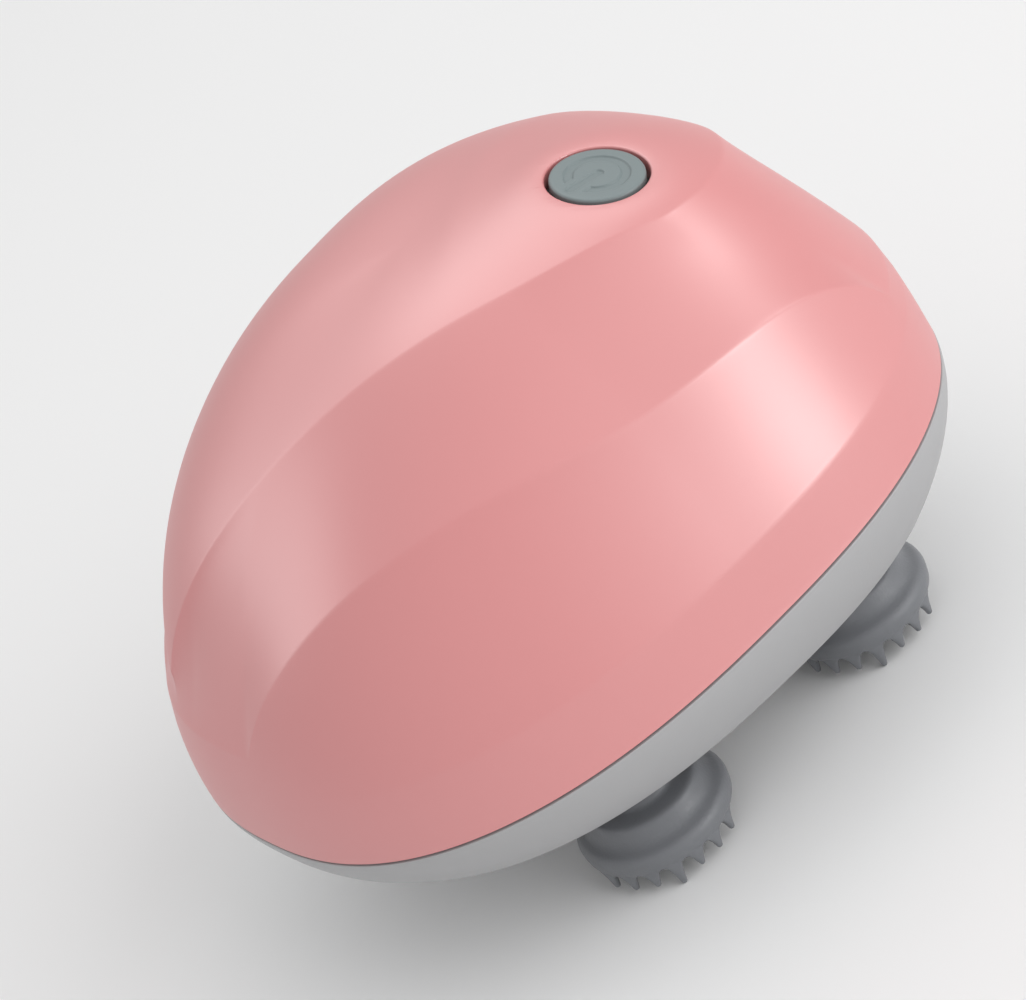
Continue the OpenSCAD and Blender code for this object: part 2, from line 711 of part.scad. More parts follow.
cradle_half = cell_r + cradle_side;
cell_x = train_x + post_reach - head_screw_r - cradle_gap - cradle_half;
board_front = body_len / 2 - 4.5;
board_x = cell_x + cradle_half + board_gap;
board_len = board_front - board_x;
board_hole_at = [board_x + board_len * 0.55, board_wid / 2 - 2.6];
module motor_bracket() {
    color("gainsboro")
        difference() {
            union() {
                translate([train_x, 0, bracket_z]) arms(bracket_t);
                translate([motor_c.x, 0, bracket_z]) cylinder(r = motor_r, h = bracket_t);
                translate([board_x, -board_wid / 2, bracket_z]) cube([board_len, board_wid, bracket_t]);
                for (y = [-1, 1])
                    translate([board_hole_at.x, y * board_hole_at.y, bracket_z])
                        cylinder(r = 2.4, h = bracket_t + board_post_h);
            }
            translate([train_x, 0, bracket_z - 1]) post_holes(bracket_t + 2);
            translate([train_x, 0, bracket_z - 1]) cylinder(r = shaft_r + run_gap, h = bracket_t + 2);
            translate([motor_c.x, 0, bracket_z - 1]) cylinder(r = 3.4, h = bracket_t + 2);
            for (y = [-1, 1]) {
                translate([motor_c.x, y * motor_screw_at, bracket_z - 1])
                    cylinder(r = screw_r + slip_gap, h = bracket_t + 2);
                translate([board_hole_at.x, y * board_hole_at.y, bracket_z + 1])
                    cylinder(r = 0.9, h = 8);
            }
        }
}

tag_at = 6.5;
motor_screw_at = 8;
module motor() {
    color("silver")
        translate([motor_c.x, 0, deck_z])
            difference() {
                union() {
                    cylinder(r = motor_r, h = motor_len);
                    translate([0, 0, -1.6]) cylinder(r = 3, h = 2);
                    translate([0, 0, motor_len - eps]) cylinder(r = 3.4, h = 1.6);
                    for (y = [-1, 1])
                        translate([-1.2, y * tag_at - 0.25, motor_len - eps]) cube([2.4, 0.5, 3]);
                }
                translate([0, 0, -2]) cylinder(r = motor_shaft_r + run_gap, h = 10);
                for (y = [-1, 1])
                    translate([0, y * motor_screw_at, -1]) cylinder(r = screw_r, h = 3.4);
            }
}

module motor_shaft() {
    color("gainsboro")
        translate([motor_c.x, 0, wheel_z - 0.4]) cylinder(r = motor_shaft_r, h = deck_z + 7 - wheel_z);
}

module motor_pinion() {
    color("goldenrod")
        translate([motor_c.x, 0, wheel_z])
            rotate([0, 0, meshed(180, 0, wheel_teeth, pinion_teeth)])
                gear(pinion_teeth, wheel_mod, wheel_t, motor_shaft_r + slip_gap / 4);
}

module screw(len) {
    cylinder(r = screw_r - 0.05, h = len);
    translate([0, 0, -1.6])
        difference() {
            cylinder(r = head_screw_r, h = 1.6);
            translate([-1.4, -0.3, -1]) cube([2.8, 0.6, 1.6]);
            translate([-0.3, -1.4, -1]) cube([0.6, 2.8, 1.6]);
        }
}

module motor_screws() {
    color("dimgray")
        for (y = [-1, 1])
            translate([motor_c.x, y * motor_screw_at, bracket_z]) screw(bracket_t + 2);
}

module bracket_screws() {
    color("dimgray")
        for (p = post_at)
            translate([train_x + p.x, p.y, deck_z]) mirror([0, 0, 1]) screw(deck_z - floor_top - 1);
}

module shell_screws() {
    color("dimgray")
        for (p = shell_post_at)
            translate([p.x, p.y, base_clear + 2.4]) screw(seam_at(p.x) + boss_h - 4 - base_clear - 2.4);
}

// Battery: one cell across the housing in a cradle on the bracket
cell_z = deck_z + 1 + cradle_t + cell_r;
module battery_cell() {
    color("steelblue")
        translate([cell_x, -cell_len / 2, cell_z])
            rotate([-90, 0, 0]) {
                cylinder(r = cell_r, h = cell_len);
                translate([0, 0, cell_len - eps]) cylinder(r = 3, h = 1.4);
            }
}

module battery_cradle() {
    len = cell_len - 2 * cradle_end;
    color([0.25, 0.25, 0.27])
        difference() {
            translate([cell_x - cradle_half, -len / 2, deck_z])
                cube([2 * cradle_half, len, 1 + cradle_t + cell_r * 0.6]);
            translate([cell_x, -cell_len / 2, cell_z])
                rotate([-90, 0, 0]) cylinder(r = cell_r + slip_gap, h = cell_len);
        }
}

strap_t = 0.8;
module battery_strap() {
    color("black")
        translate([cell_x, -strap_wid / 2, cell_z])
            rotate([-90, 0, 0])
                difference() {
                    cylinder(r = cell_r + slip_gap + strap_t, h = strap_wid);
                    translate([0, 0, -1]) cylinder(r = cell_r + slip_gap, h = strap_wid + 2);
                    translate([-2 * cell_r, 4 - cell_r * 0.6, -1])
                        cube([4 * cell_r, 3 * cell_r, strap_wid + 2]);
                }
}

board_z = deck_z + board_post_h;
chip_len = 3;
module main_board() {
    color("seagreen")
        difference() {
            union() {
                translate([board_x, -board_wid / 2, board_z]) cube([board_len, board_wid, board_t]);
                translate([board_x + 5.5, -2.5, board_z + board_t - eps]) cube([5, 5, 1]);
                translate([socket_x - chip_len, -3.5, board_z + board_t - eps]) cube([chip_len, 2.4, 0.8]);
                translate([socket_x - chip_len, 1.1, board_z + board_t - eps]) cube([chip_len, 2.4, 0.8]);
            }
            for (y = [-1, 1])
                translate([board_hole_at.x, y * board_hole_at.y, board_z - 1]) cylinder(r = 1.1, h = 4);
        }
}

module board_screws() {
    color("silver")
        for (y = [-1, 1])
            translate([board_hole_at.x, y * board_hole_at.y, board_z + board_t])
                mirror([0, 0, 1]) {
                    cylinder(r = 0.85, h = board_t + 2);
                    translate([0, 0, -1]) cylinder(r = 1.8, h = 1);
                }
}

socket_x = pocket_x - 0.3 - socket_len;
module charge_socket() {
    color("silver")
        difference() {
            translate([socket_x, -socket_wid / 2, port_z - socket_h / 2])
                cube([socket_len, socket_wid, socket_h]);
            difference() {
                translate([socket_x + 1, -socket_wid / 2 + 0.35, port_z - socket_h / 2 + 0.35])
                    cube([socket_len, socket_wid - 0.7, socket_h - 0.7]);
                translate([socket_x, -socket_wid / 2 + 1.2, port_z - 0.35])
                    cube([socket_len - 1, socket_wid - 2.4, 0.7]);
            }
        }
}

hinge_r = 0.7;
hinge_z = port_z - cover_h / 2 + hinge_r;
hinge_x = port_out - 0.5 - hinge_r;
module port_cover() {
    color("gray")
        union() {
            translate([hinge_x + hinge_r - cover_t, -cover_wid / 2, hinge_z])
                cube([cover_t, cover_wid, cover_h - hinge_r]);
            translate([hinge_x, -cover_wid / 2, hinge_z])
                rotate([-90, 0, 0]) cylinder(r = hinge_r, h = cover_wid);
        }
}

// Leads: round wire swept along a curve set by its two ends and the two points it leans to
function curve(p, t) =
    let (s = 1 - t) s * s * s * p[0] + 3 * s * s * t * p[1] + 3 * s * t * t * p[2] + t * t * t * p[3];
function unit(v) = v / norm(v);
function slope(p, t) =
    let (s = 1 - t) unit(s * s * (p[1] - p[0]) + 2 * s * t * (p[2] - p[1]) + t * t * (p[3] - p[2]));
module lead(p, r) {
    steps = 16;
    sides = 10;
    points = [for (i = [0:steps], j = [0:sides - 1])
        let (d = slope(p, i / steps), u = unit(cross(d, [0.3, 0.9, 0.1])), v = cross(d, u),
            a = j * 360 / sides)
        curve(p, i / steps) + r * (cos(a) * u + sin(a) * v)];
    walls = [for (i = [0:steps - 1], j = [0:sides - 1])
        let (a = i * sides + j, b = i * sides + (j + 1) % sides)
        [a, b, b + sides, a + sides]];
    low = [for (j = [0:sides - 1]) sides - 1 - j];
    high = [for (j = [0:sides - 1]) steps * sides + j];
    polyhedron(points, concat([for (f = walls) [f[3], f[2], f[1], f[0]]], [reversed_ring(low)],
        [reversed_ring(high)]));
}
function reversed_ring(f) = [for (i = [len(f) - 1:-1:0]) f[i]];

lead_r = 0.7;
board_top = board_z + board_t;
module battery_leads() {
    color("firebrick")
        for (y = [-1, 1])
            lead([[cell_x + 5.5, y * (cell_len / 2 + 0.4 + lead_r), cell_z],
                [cell_x + 20, y * (cell_len / 2 + 2), cell_z],
                [board_x + 3, y * board_wid / 2, board_top + 13],
                [board_x + 3, y * (board_wid / 2 - 2), board_top - eps]], lead_r);
}

motor_top = deck_z + motor_len;
module motor_leads() {
    color("goldenrod")
        for (y = [-1, 1])
            lead([[motor_c.x + 1.2 + lead_r, y * tag_at, motor_top + 2.2],
                [motor_c.x + 24, y * tag_at, motor_top + 7], [board_x + 2, y * 3, motor_top],
                [board_x + 2, y * 3, board_top - eps]], lead_r);
}

function button_point(v) =
    let (x = v.x * cos(button_lean) + v.z * sin(button_lean),
        z = v.z * cos(button_lean) - v.x * sin(button_lean))
    [button_x + x * cos(button_turn) - v.y * sin(button_turn),
        button_y + x * sin(button_turn) + v.y * cos(button_turn), button_z + z];
module switch_leads() {
    low = carrier_low - board_t;
    color("whitesmoke")
        for (y = [-1, 1])
            lead([button_point([5, y * 1.5, low - 0.15]), button_point([7, y * 1.5, low - 6]),
                [board_x + 6, y - 5, board_top + 14], [board_x + 6, y - 6, board_top - eps]], lead_r / 2);
}

upper_shell();
base_shell();
seam_gasket();
power_button();
button_stem();
switch_plunger();
button_seal();
switch_carrier();
switch_board();
push_switch();
massage_head(0);  // massage_head_1
massage_head(1);  // massage_head_2
massage_head(2);  // massage_head_3
massage_head(3);  // massage_head_4
head_core(0);  // head_core_1
head_core(1);  // head_core_2
head_core(2);  // head_core_3
head_core(3);  // head_core_4
spindle(0);  // spindle_1
spindle(1);  // spindle_2
spindle(2);  // spindle_3
spindle(3);  // spindle_4
head_gear(0);  // head_gear_1
head_gear(1);  // head_gear_2
head_gear(2);  // head_gear_3
head_gear(3);  // head_gear_4
spindle_bush(0);  // spindle_bush_1
spindle_bush(1);  // spindle_bush_2
spindle_bush(2);  // spindle_bush_3
spindle_bush(3);  // spindle_bush_4
shaft_seal(0);  // shaft_seal_1
shaft_seal(1);  // shaft_seal_2
shaft_seal(2);  // shaft_seal_3
shaft_seal(3);  // shaft_seal_4
sun_gear();
drive_wheel();
drive_shaft();
gear_plate();
motor_bracket();
motor();
motor_shaft();
motor_pinion();
motor_screws();
bracket_screws();
shell_screws();
battery_cell();
battery_cradle();
battery_strap();
main_board();
board_screws();
charge_socket();
port_cover();
battery_leads();
motor_leads();
switch_leads();
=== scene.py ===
"""Hand-held kneading massager for pets, dressed over its fixed frame.

Shapes are worked out with numpy in millimetres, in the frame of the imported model, and go into the
meshes in metres. The housing is a creased dome on a base that draws in towards its underside; four
silicone heads with teeth turn under it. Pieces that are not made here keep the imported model's mesh
and get a finish of their own.
"""
import json
import logging
import math
from dataclasses import dataclass
from enum import Enum, auto
from functools import cached_property
from typing import Callable, Iterable, Sequence

import bmesh
import bpy
import numpy as np
from mathutils import Matrix, Vector
from mathutils.geometry import tessellate_polygon


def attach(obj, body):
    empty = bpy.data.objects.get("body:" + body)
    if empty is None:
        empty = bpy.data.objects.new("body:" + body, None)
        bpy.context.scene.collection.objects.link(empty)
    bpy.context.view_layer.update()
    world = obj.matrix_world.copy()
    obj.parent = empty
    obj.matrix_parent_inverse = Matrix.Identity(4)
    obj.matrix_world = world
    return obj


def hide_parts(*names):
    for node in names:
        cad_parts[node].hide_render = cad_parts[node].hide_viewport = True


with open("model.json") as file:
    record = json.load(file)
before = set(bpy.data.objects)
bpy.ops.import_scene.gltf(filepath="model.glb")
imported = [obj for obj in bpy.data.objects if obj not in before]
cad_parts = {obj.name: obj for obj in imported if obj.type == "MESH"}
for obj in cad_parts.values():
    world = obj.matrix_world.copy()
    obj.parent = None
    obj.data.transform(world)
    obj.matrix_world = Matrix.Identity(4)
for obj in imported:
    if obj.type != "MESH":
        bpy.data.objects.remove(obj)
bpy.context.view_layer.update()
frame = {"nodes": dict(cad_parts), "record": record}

LOG = logging.getLogger("massager")
MM = 0.001
Rings = Sequence[np.ndarray]
Surface = Callable[[np.ndarray, np.ndarray], np.ndarray]


def linear(screen: Sequence[int]) -> tuple[float, float, float, float]:
    """Colour of a screen value.

    Args:
        screen: red, green and blue from 0 to 255.

    Returns:
        Linear colour with full opacity: each share is divided by 12.92 where it is dark, else
        raised to 2.4 after an offset of 0.055.
    """
    share = np.array(screen) / 255.0
    value = np.where(share <= 0.04045, share / 12.92, ((share + 0.055) / 1.055) ** 2.4)
    return (*(float(v) for v in value), 1.0)


def signed_power(value: np.ndarray, power: float | np.ndarray) -> np.ndarray:
    """Raises the size of a value to a power and keeps its sign."""
    return np.sign(value) * np.abs(value) ** power


def bell(points: np.ndarray, middle: Sequence[float], spread: float) -> np.ndarray:
    """A bell over the plan: exp(-d^2 / (2 spread^2)), where d is the distance to its middle."""
    return np.exp(-((points[..., :2] - middle) ** 2).sum(-1) / (2 * spread ** 2))


def clustered(count: int, share: float = 0.5) -> np.ndarray:
    """Steps from 0 to 1, closer at both ends: s mixed by a share with (1 - cos(pi s)) / 2."""
    even = np.linspace(0.0, 1.0, count + 1)
    return (1.0 - share) * even + share * (1.0 - np.cos(math.pi * even)) / 2.0


def ways(angle: np.ndarray) -> np.ndarray:
    """Directions in plan: cosine and sine of each angle."""
    return np.stack([np.cos(angle), np.sin(angle)], axis=-1)


def circle(radius: float, count: int = 48) -> np.ndarray:
    """Points of a circle round the origin: radius times cosine and sine."""
    return radius * ways(np.arange(count) * 2.0 * math.pi / count)


def raised(plan: np.ndarray, height: np.ndarray) -> np.ndarray:
    """Points in space from their place in plan and their height."""
    return np.concatenate([plan, height[..., None]], axis=-1)


def lengths(path: np.ndarray) -> np.ndarray:
    """Length along a path up to each of its points, as the sum of the steps between them."""
    return np.concatenate([[0.0], np.cumsum(np.linalg.norm(np.diff(path, axis=0), axis=1))])


def rounded_rectangle(half_u: float, half_v: float, corner: float, count: int = 96) -> np.ndarray:
    """Points of a rectangle with round corners, evenly spaced along it.

    Args:
        half_u: half its width.
        half_v: half its height.
        corner: radius of the corners.
        count: number of points.

    Returns:
        Points as (count, 2): four quarter circles about the inner corners, sampled finely and read
        again at equal arc lengths.
    """
    turn = np.linspace(0.0, math.pi / 2, 25)
    starts = np.array([[1, 1], [-1, 1], [-1, -1], [1, -1]])
    middle = starts * [half_u - corner, half_v - corner]
    angle = turn[None, :] + np.arange(4)[:, None] * math.pi / 2
    path = middle[:, None, :] + corner * ways(angle)
    path = np.concatenate([path.reshape(-1, 2), path[0, :1]])
    along = lengths(path)
    at = np.arange(count) * along[-1] / count
    return np.stack([np.interp(at, along, path[:, 0]), np.interp(at, along, path[:, 1])], axis=-1)


@dataclass(frozen=True)
class Plane:
    """A flat frame in space: a middle, two directions in the plane and its normal."""

    middle: np.ndarray
    u: np.ndarray
    v: np.ndarray
    normal: np.ndarray

    def flat(self, points: np.ndarray) -> np.ndarray:
        """Coordinates in the plane, as the dot products with its two directions."""
        away = points - self.middle
        return np.stack([away @ self.u, away @ self.v], axis=-1)

    def height(self, points: np.ndarray) -> np.ndarray:
        """Height above the plane, as the dot product with its normal."""
        return (points - self.middle) @ self.normal

    def place(self, flat: np.ndarray, height: float | np.ndarray) -> np.ndarray:
        """Points in space from coordinates in the plane and heights above it."""
        level = np.broadcast_to(np.asarray(height, dtype=float), flat.shape[:-1])[..., None]
        return self.middle + flat[..., :1] * self.u + flat[..., 1:] * self.v + level * self.normal


def level_plane(x: float = 0.0, y: float = 0.0, z: float = 0.0) -> Plane:
    """A level plane through a point, with its directions along X and Y."""
    return Plane(np.array([x, y, z]), *np.eye(3))


def end_plane(x: float, z: float) -> Plane:
    """An upright plane through a point of the middle line that faces along X."""
    return Plane(np.array([x, 0.0, z]), *np.eye(3)[[1, 2, 0]])


class Skin:
    """One mesh, grown out of grids, rings and flat fills of numbered points."""

    def __init__(self) -> None:
        """Starts with no points and no faces."""
        self.blocks: list[np.ndarray] = []
        self.faces: list[np.ndarray] = []
        self.count = 0

    def add(self, points: np.ndarray) -> np.ndarray:
        """Adds points.

        Args:
            points: array whose last axis is x, y, z.

        Returns:
            The numbers of the points, in the array's shape without its last axis.
        """
        number = self.count + np.arange(int(np.prod(points.shape[:-1]))).reshape(points.shape[:-1])
        self.blocks.append(points.reshape(-1, 3).astype(float))
        self.count += number.size
        return number

    def point(self, numbers: np.ndarray) -> np.ndarray:
        """Places of points from their numbers."""
        return np.concatenate(self.blocks)[numbers]

    def strip(self, rings: Rings | np.ndarray, gone: np.ndarray | None = None) -> None:
        """Joins each closed ring of points to the next with quads.

        Args:
            rings: rings of equal length as rows, or stacks of such rows.
            gone: True where the quad between two rows is left out.
        """
        grid = np.stack(list(rings))
        after = np.roll(grid, -1, axis=-1)
        quads = np.stack([grid[..., :-1, :], after[..., :-1, :],
                          after[..., 1:, :], grid[..., 1:, :]], axis=-1)
        self.faces.append(quads[~gone] if gone is not None else quads.reshape(-1, 4))

    def sleeve(self, plane: Plane, steps: Iterable[tuple[np.ndarray, float]]) -> np.ndarray:
        """Adds rings in a plane's frame and joins them in order.

        Args:
            plane: the plane.
            steps: outline and height of each ring.

        Returns:
            The numbers of the rings' points, as rows.
        """
        rings = np.stack([self.add(plane.place(flat, level)) for flat, level in steps])
        self.strip(rings)
        return rings

    def fan(self, ring: np.ndarray, tip: np.ndarray) -> None:
        """Closes each ring with triangles to its tip."""
        end = np.broadcast_to(self.add(tip)[..., None], ring.shape)
        self.faces.append(np.stack([ring, np.roll(ring, -1, axis=-1), end], axis=-1).reshape(-1, 3))

    def fill(self, loops: Iterable[np.ndarray], plane: Plane) -> None:
        """Fills a flat outline with its holes left open.

        Args:
            loops: the outline, then each hole, as rows of point numbers.
            plane: the plane that they lie in.
        """
        rows = list(loops)
        shapes = [[Vector((*p, 0.0)) for p in plane.flat(self.point(row)).tolist()] for row in rows]
        numbers = np.concatenate(rows)
        self.faces.append(numbers[np.array(tessellate_polygon(shapes), dtype=int)])

    def turned(self, profile: np.ndarray, plane: Plane, count: int = 48) -> None:
        """Adds a closed body turned about the plane's normal.

        Args:
            profile: (radius, height) points; a first or last radius of 0 is closed by one point,
                and a profile that starts and ends away from the axis is closed on itself.
            plane: the plane whose normal is the axis.
            count: number of points round it.
        """
        unit = circle(1.0, count)
        solid = profile[profile[:, 0] > 1e-6]
        rings = self.add(plane.place(solid[:, 0, None, None] * unit, solid[:, 1, None]))
        self.strip(rings)
        if profile[0, 0] <= 1e-6:
            for k in (0, -1):
                self.fan(rings[k], plane.place(np.zeros(2), profile[k, 1]))
        else:
            self.strip([rings[-1], rings[0]])

    def box(self, low: np.ndarray, high: np.ndarray, plane: Plane) -> None:
        """Adds a closed block.

        Args:
            low: its lowest corner in the plane's frame.
            high: its highest corner.
            plane: the plane.
        """
        ring = np.array([low[:2], [high[0], low[1]], high[:2], [low[0], high[1]]])
        rings = self.add(np.stack([plane.place(ring, low[2]), plane.place(ring, high[2])]))
        self.strip(rings)
        self.faces.append(rings)

    def piece(self, name: str, body: str, slot: str, node: str, sharp: float = 40.0) -> None:
        """Makes a piece of the points and faces, dresses it and ties it to the frame.

        Doubles are merged, faces are turned outwards, and edges are sharp past an angle.

        Args:
            name: name of the piece.
            body: the body that it moves with.
            slot: the record's material slot, whose finish it gets.
            node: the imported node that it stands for.
            sharp: angle in degrees from which an edge stays sharp.
        """
        mesh = bpy.data.meshes.new(name)
        points = np.concatenate(self.blocks) * MM
        sizes = np.concatenate([np.full(len(f), f.shape[1]) for f in self.faces])
        corners = np.concatenate([f.ravel() for f in self.faces])
        mesh.vertices.add(len(points))
        mesh.vertices.foreach_set("co", points.ravel())
        mesh.loops.add(len(corners))
        mesh.loops.foreach_set("vertex_index", corners.astype(np.int32))
        mesh.polygons.add(len(sizes))
        starts = np.concatenate([[0], np.cumsum(sizes)[:-1]])
        mesh.polygons.foreach_set("loop_start", starts.astype(np.int32))
        mesh.polygons.foreach_set("loop_total", sizes.astype(np.int32))
        mesh.update(calc_edges=True)
        work = bmesh.new()
        work.from_mesh(mesh)
        bmesh.ops.remove_doubles(work, verts=work.verts, dist=2e-7)
        bmesh.ops.recalc_face_normals(work, faces=work.faces)
        work.to_mesh(mesh)
        work.free()
        mesh.polygons.foreach_set("use_smooth", np.ones(len(mesh.polygons), dtype=bool))
        mesh.set_sharp_from_angle(angle=math.radians(sharp))
        mesh.validate()
        mesh.materials.append(FINISHES[slot].material())
        item = bpy.data.objects.new(name, mesh)
        bpy.context.scene.collection.objects.link(item)
        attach(item, body)
        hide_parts(node)
        LOG.info("%s: %d faces, on %s", item.name, len(mesh.polygons), body)


class Texture(Enum):
    """A texture's name, the detail and roughness of its broad noise, and its relief in metres."""

    MOULDED = ("moulded grain", 4.0, 0.55, 0.0002)
    TURNED = ("turned lines", 5.0, 0.5, 0.0001)
    BOARD = ("board tracks", 3.0, 0.5, 0.0001)


class Effects:
    """Shader groups that several finishes share, one for each texture."""

    INPUTS = {"Colour": "Color", "Second": "Color", "Drift": "Float", "Gloss low": "Float",
              "Gloss high": "Float", "Grain scale": "Float", "Grain depth": "Float",
              "Broad scale": "Float"}
    OUTPUTS = {"Color": "Color", "Roughness": "Float", "Normal": "Vector"}

    @staticmethod
    def node(tree: bpy.types.NodeTree, kind: str, links: dict[str | int, object] | None = None,
             result: str | int = 0, **values: object) -> bpy.types.NodeSocket:
        """Adds a node, sets its options and fills its inputs.

        Args:
            tree: the tree that it goes into.
            kind: type of the node, without its prefix.
            links: input name or number, with the output that feeds it or the value that it holds.
            result: name or number of the output that is wanted.
            values: the node's own options.

        Returns:
            The wanted output.
        """
        item = tree.nodes.new(f"ShaderNode{kind}")
        for key, value in values.items():
            setattr(item, key, value)
        for key, value in (links or {}).items():
            if isinstance(value, bpy.types.NodeSocket):
                tree.links.new(value, item.inputs[key])
            else:
                item.inputs[key].default_value = value
        return item.outputs[result]

    @classmethod
    def relief(cls, tree: bpy.types.NodeTree, texture: Texture, place: bpy.types.NodeSocket,
               scale: bpy.types.NodeSocket) -> bpy.types.NodeSocket:
        """Height of a texture.

        Args:
            tree: the group that it goes into.
            texture: the texture.
            place: where the surface is.
            scale: how fine the texture is.

        Returns:
            A moulding has a fine noise plus the distance to scattered points, turned metal a noise
            drawn out 50 times along X and Y, and a board a 1 wherever the distance to the middle of
            its square cell is over 0.42.
        """
        spot = {"Vector": place, "Scale": scale}
        if texture is Texture.MOULDED:
            fine = cls.node(tree, "TexNoise", {**spot, "Detail": 3.0, "Roughness": 0.6}, "Fac")
            speck = cls.node(tree, "TexVoronoi", spot, "Distance")
            return cls.node(tree, "Math", {0: fine, 1: speck}, operation="ADD")
        if texture is Texture.TURNED:
            drawn = {"Vector": place, "Scale": (0.02, 0.02, 1.0)}
            spot["Vector"] = cls.node(tree, "Mapping", drawn)
            return cls.node(tree, "TexNoise", {**spot, "Detail": 2.0}, "Fac")
        cells = cls.node(tree, "TexVoronoi", spot, "Distance", distance="CHEBYCHEV")
        return cls.node(tree, "Math", {0: cells, 1: 0.42}, operation="GREATER_THAN")

    @classmethod
    def of(cls, texture: Texture) -> bpy.types.NodeTree:
        """Makes a texture's group once, and finds it after that.

        Args:
            texture: the texture.

        Returns:
            A group that mixes the two colours by drift times the mask, spreads the roughness from
            the low to the high gloss by a broad noise and bumps the normal by the relief. The mask
            is the broad noise on a moulding, else the relief.
        """
        name, detail, rough, depth = texture.value
        if name in bpy.data.node_groups:
            return bpy.data.node_groups[name]
        tree = bpy.data.node_groups.new(name, "ShaderNodeTree")
        for way, sockets in (("INPUT", cls.INPUTS), ("OUTPUT", cls.OUTPUTS)):
            for label, kind in sockets.items():
                tree.interface.new_socket(label, in_out=way, socket_type=f"NodeSocket{kind}")
        given = tree.nodes.new("NodeGroupInput").outputs
        place = cls.node(tree, "TexCoord", result="Object")
        height = cls.relief(tree, texture, place, given["Grain scale"])
        broad = cls.node(tree, "TexNoise", {
            "Vector": place, "Scale": given["Broad scale"], "Detail": detail,
            "Roughness": rough}, "Fac")
        mask = broad if texture is Texture.MOULDED else height
        share = cls.node(tree, "Math", {0: mask, 1: given["Drift"]}, operation="MULTIPLY")
        colour = cls.node(tree, "Mix", {0: share, 6: given["Colour"], 7: given["Second"]}, 2,
                          data_type="RGBA")
        gloss = cls.node(tree, "MapRange", {
            "Value": broad, "To Min": given["Gloss low"], "To Max": given["Gloss high"]})
        bump = cls.node(tree, "Bump", {
            "Height": height, "Strength": given["Grain depth"], "Distance": depth}, "Normal")
        end = tree.nodes.new("NodeGroupOutput")
        for label, result in zip(cls.OUTPUTS, (colour, gloss, bump)):
            tree.links.new(result, end.inputs[label])
        return tree


@dataclass(frozen=True)
class Finish:
    """A material: its colours, gloss and close-up texture."""

    name: str
    colour: tuple[int, int, int]
    second: tuple[int, int, int]
    gloss: tuple[float, float] = (0.38, 0.46)
    texture: Texture = Texture.MOULDED
    drift: float = 0.3
    grain: float = 2400.0
    depth: float = 0.08
    broad: float = 40.0
    metallic: float = 0.0
    specular: float = 0.5
    bend: float = 1.5
    coat: float = 0.0
    coat_rough: float = 0.1
    sheen: float = 0.0

    def material(self) -> bpy.types.Material:
        """Builds the material once, and returns it again after that.

        Returns:
            A material whose shared group feeds colour, roughness and normal of one shader.
        """
        found = bpy.data.materials.get(self.name)
        if found:
            return found
        item = bpy.data.materials.new(self.name)
        item.use_nodes = True
        tree = item.node_tree
        shader = tree.nodes["Principled BSDF"]
        group = tree.nodes.new("ShaderNodeGroup")
        group.node_tree = Effects.of(self.texture)
        values = (linear(self.colour), linear(self.second), self.drift, *self.gloss, self.grain,
                  self.depth, self.broad)
        for label, value in zip(Effects.INPUTS, values):
            group.inputs[label].default_value = value
        for label, target in zip(Effects.OUTPUTS, ("Base Color", "Roughness", "Normal")):
            tree.links.new(group.outputs[label], shader.inputs[target])
        for label, value in (("Metallic", self.metallic), ("Specular IOR Level", self.specular),
                             ("IOR", self.bend), ("Coat Weight", self.coat),
                             ("Coat Roughness", self.coat_rough), ("Sheen Weight", self.sheen)):
            shader.inputs[label].default_value = value
        item.diffuse_color = linear(self.colour)
        return item


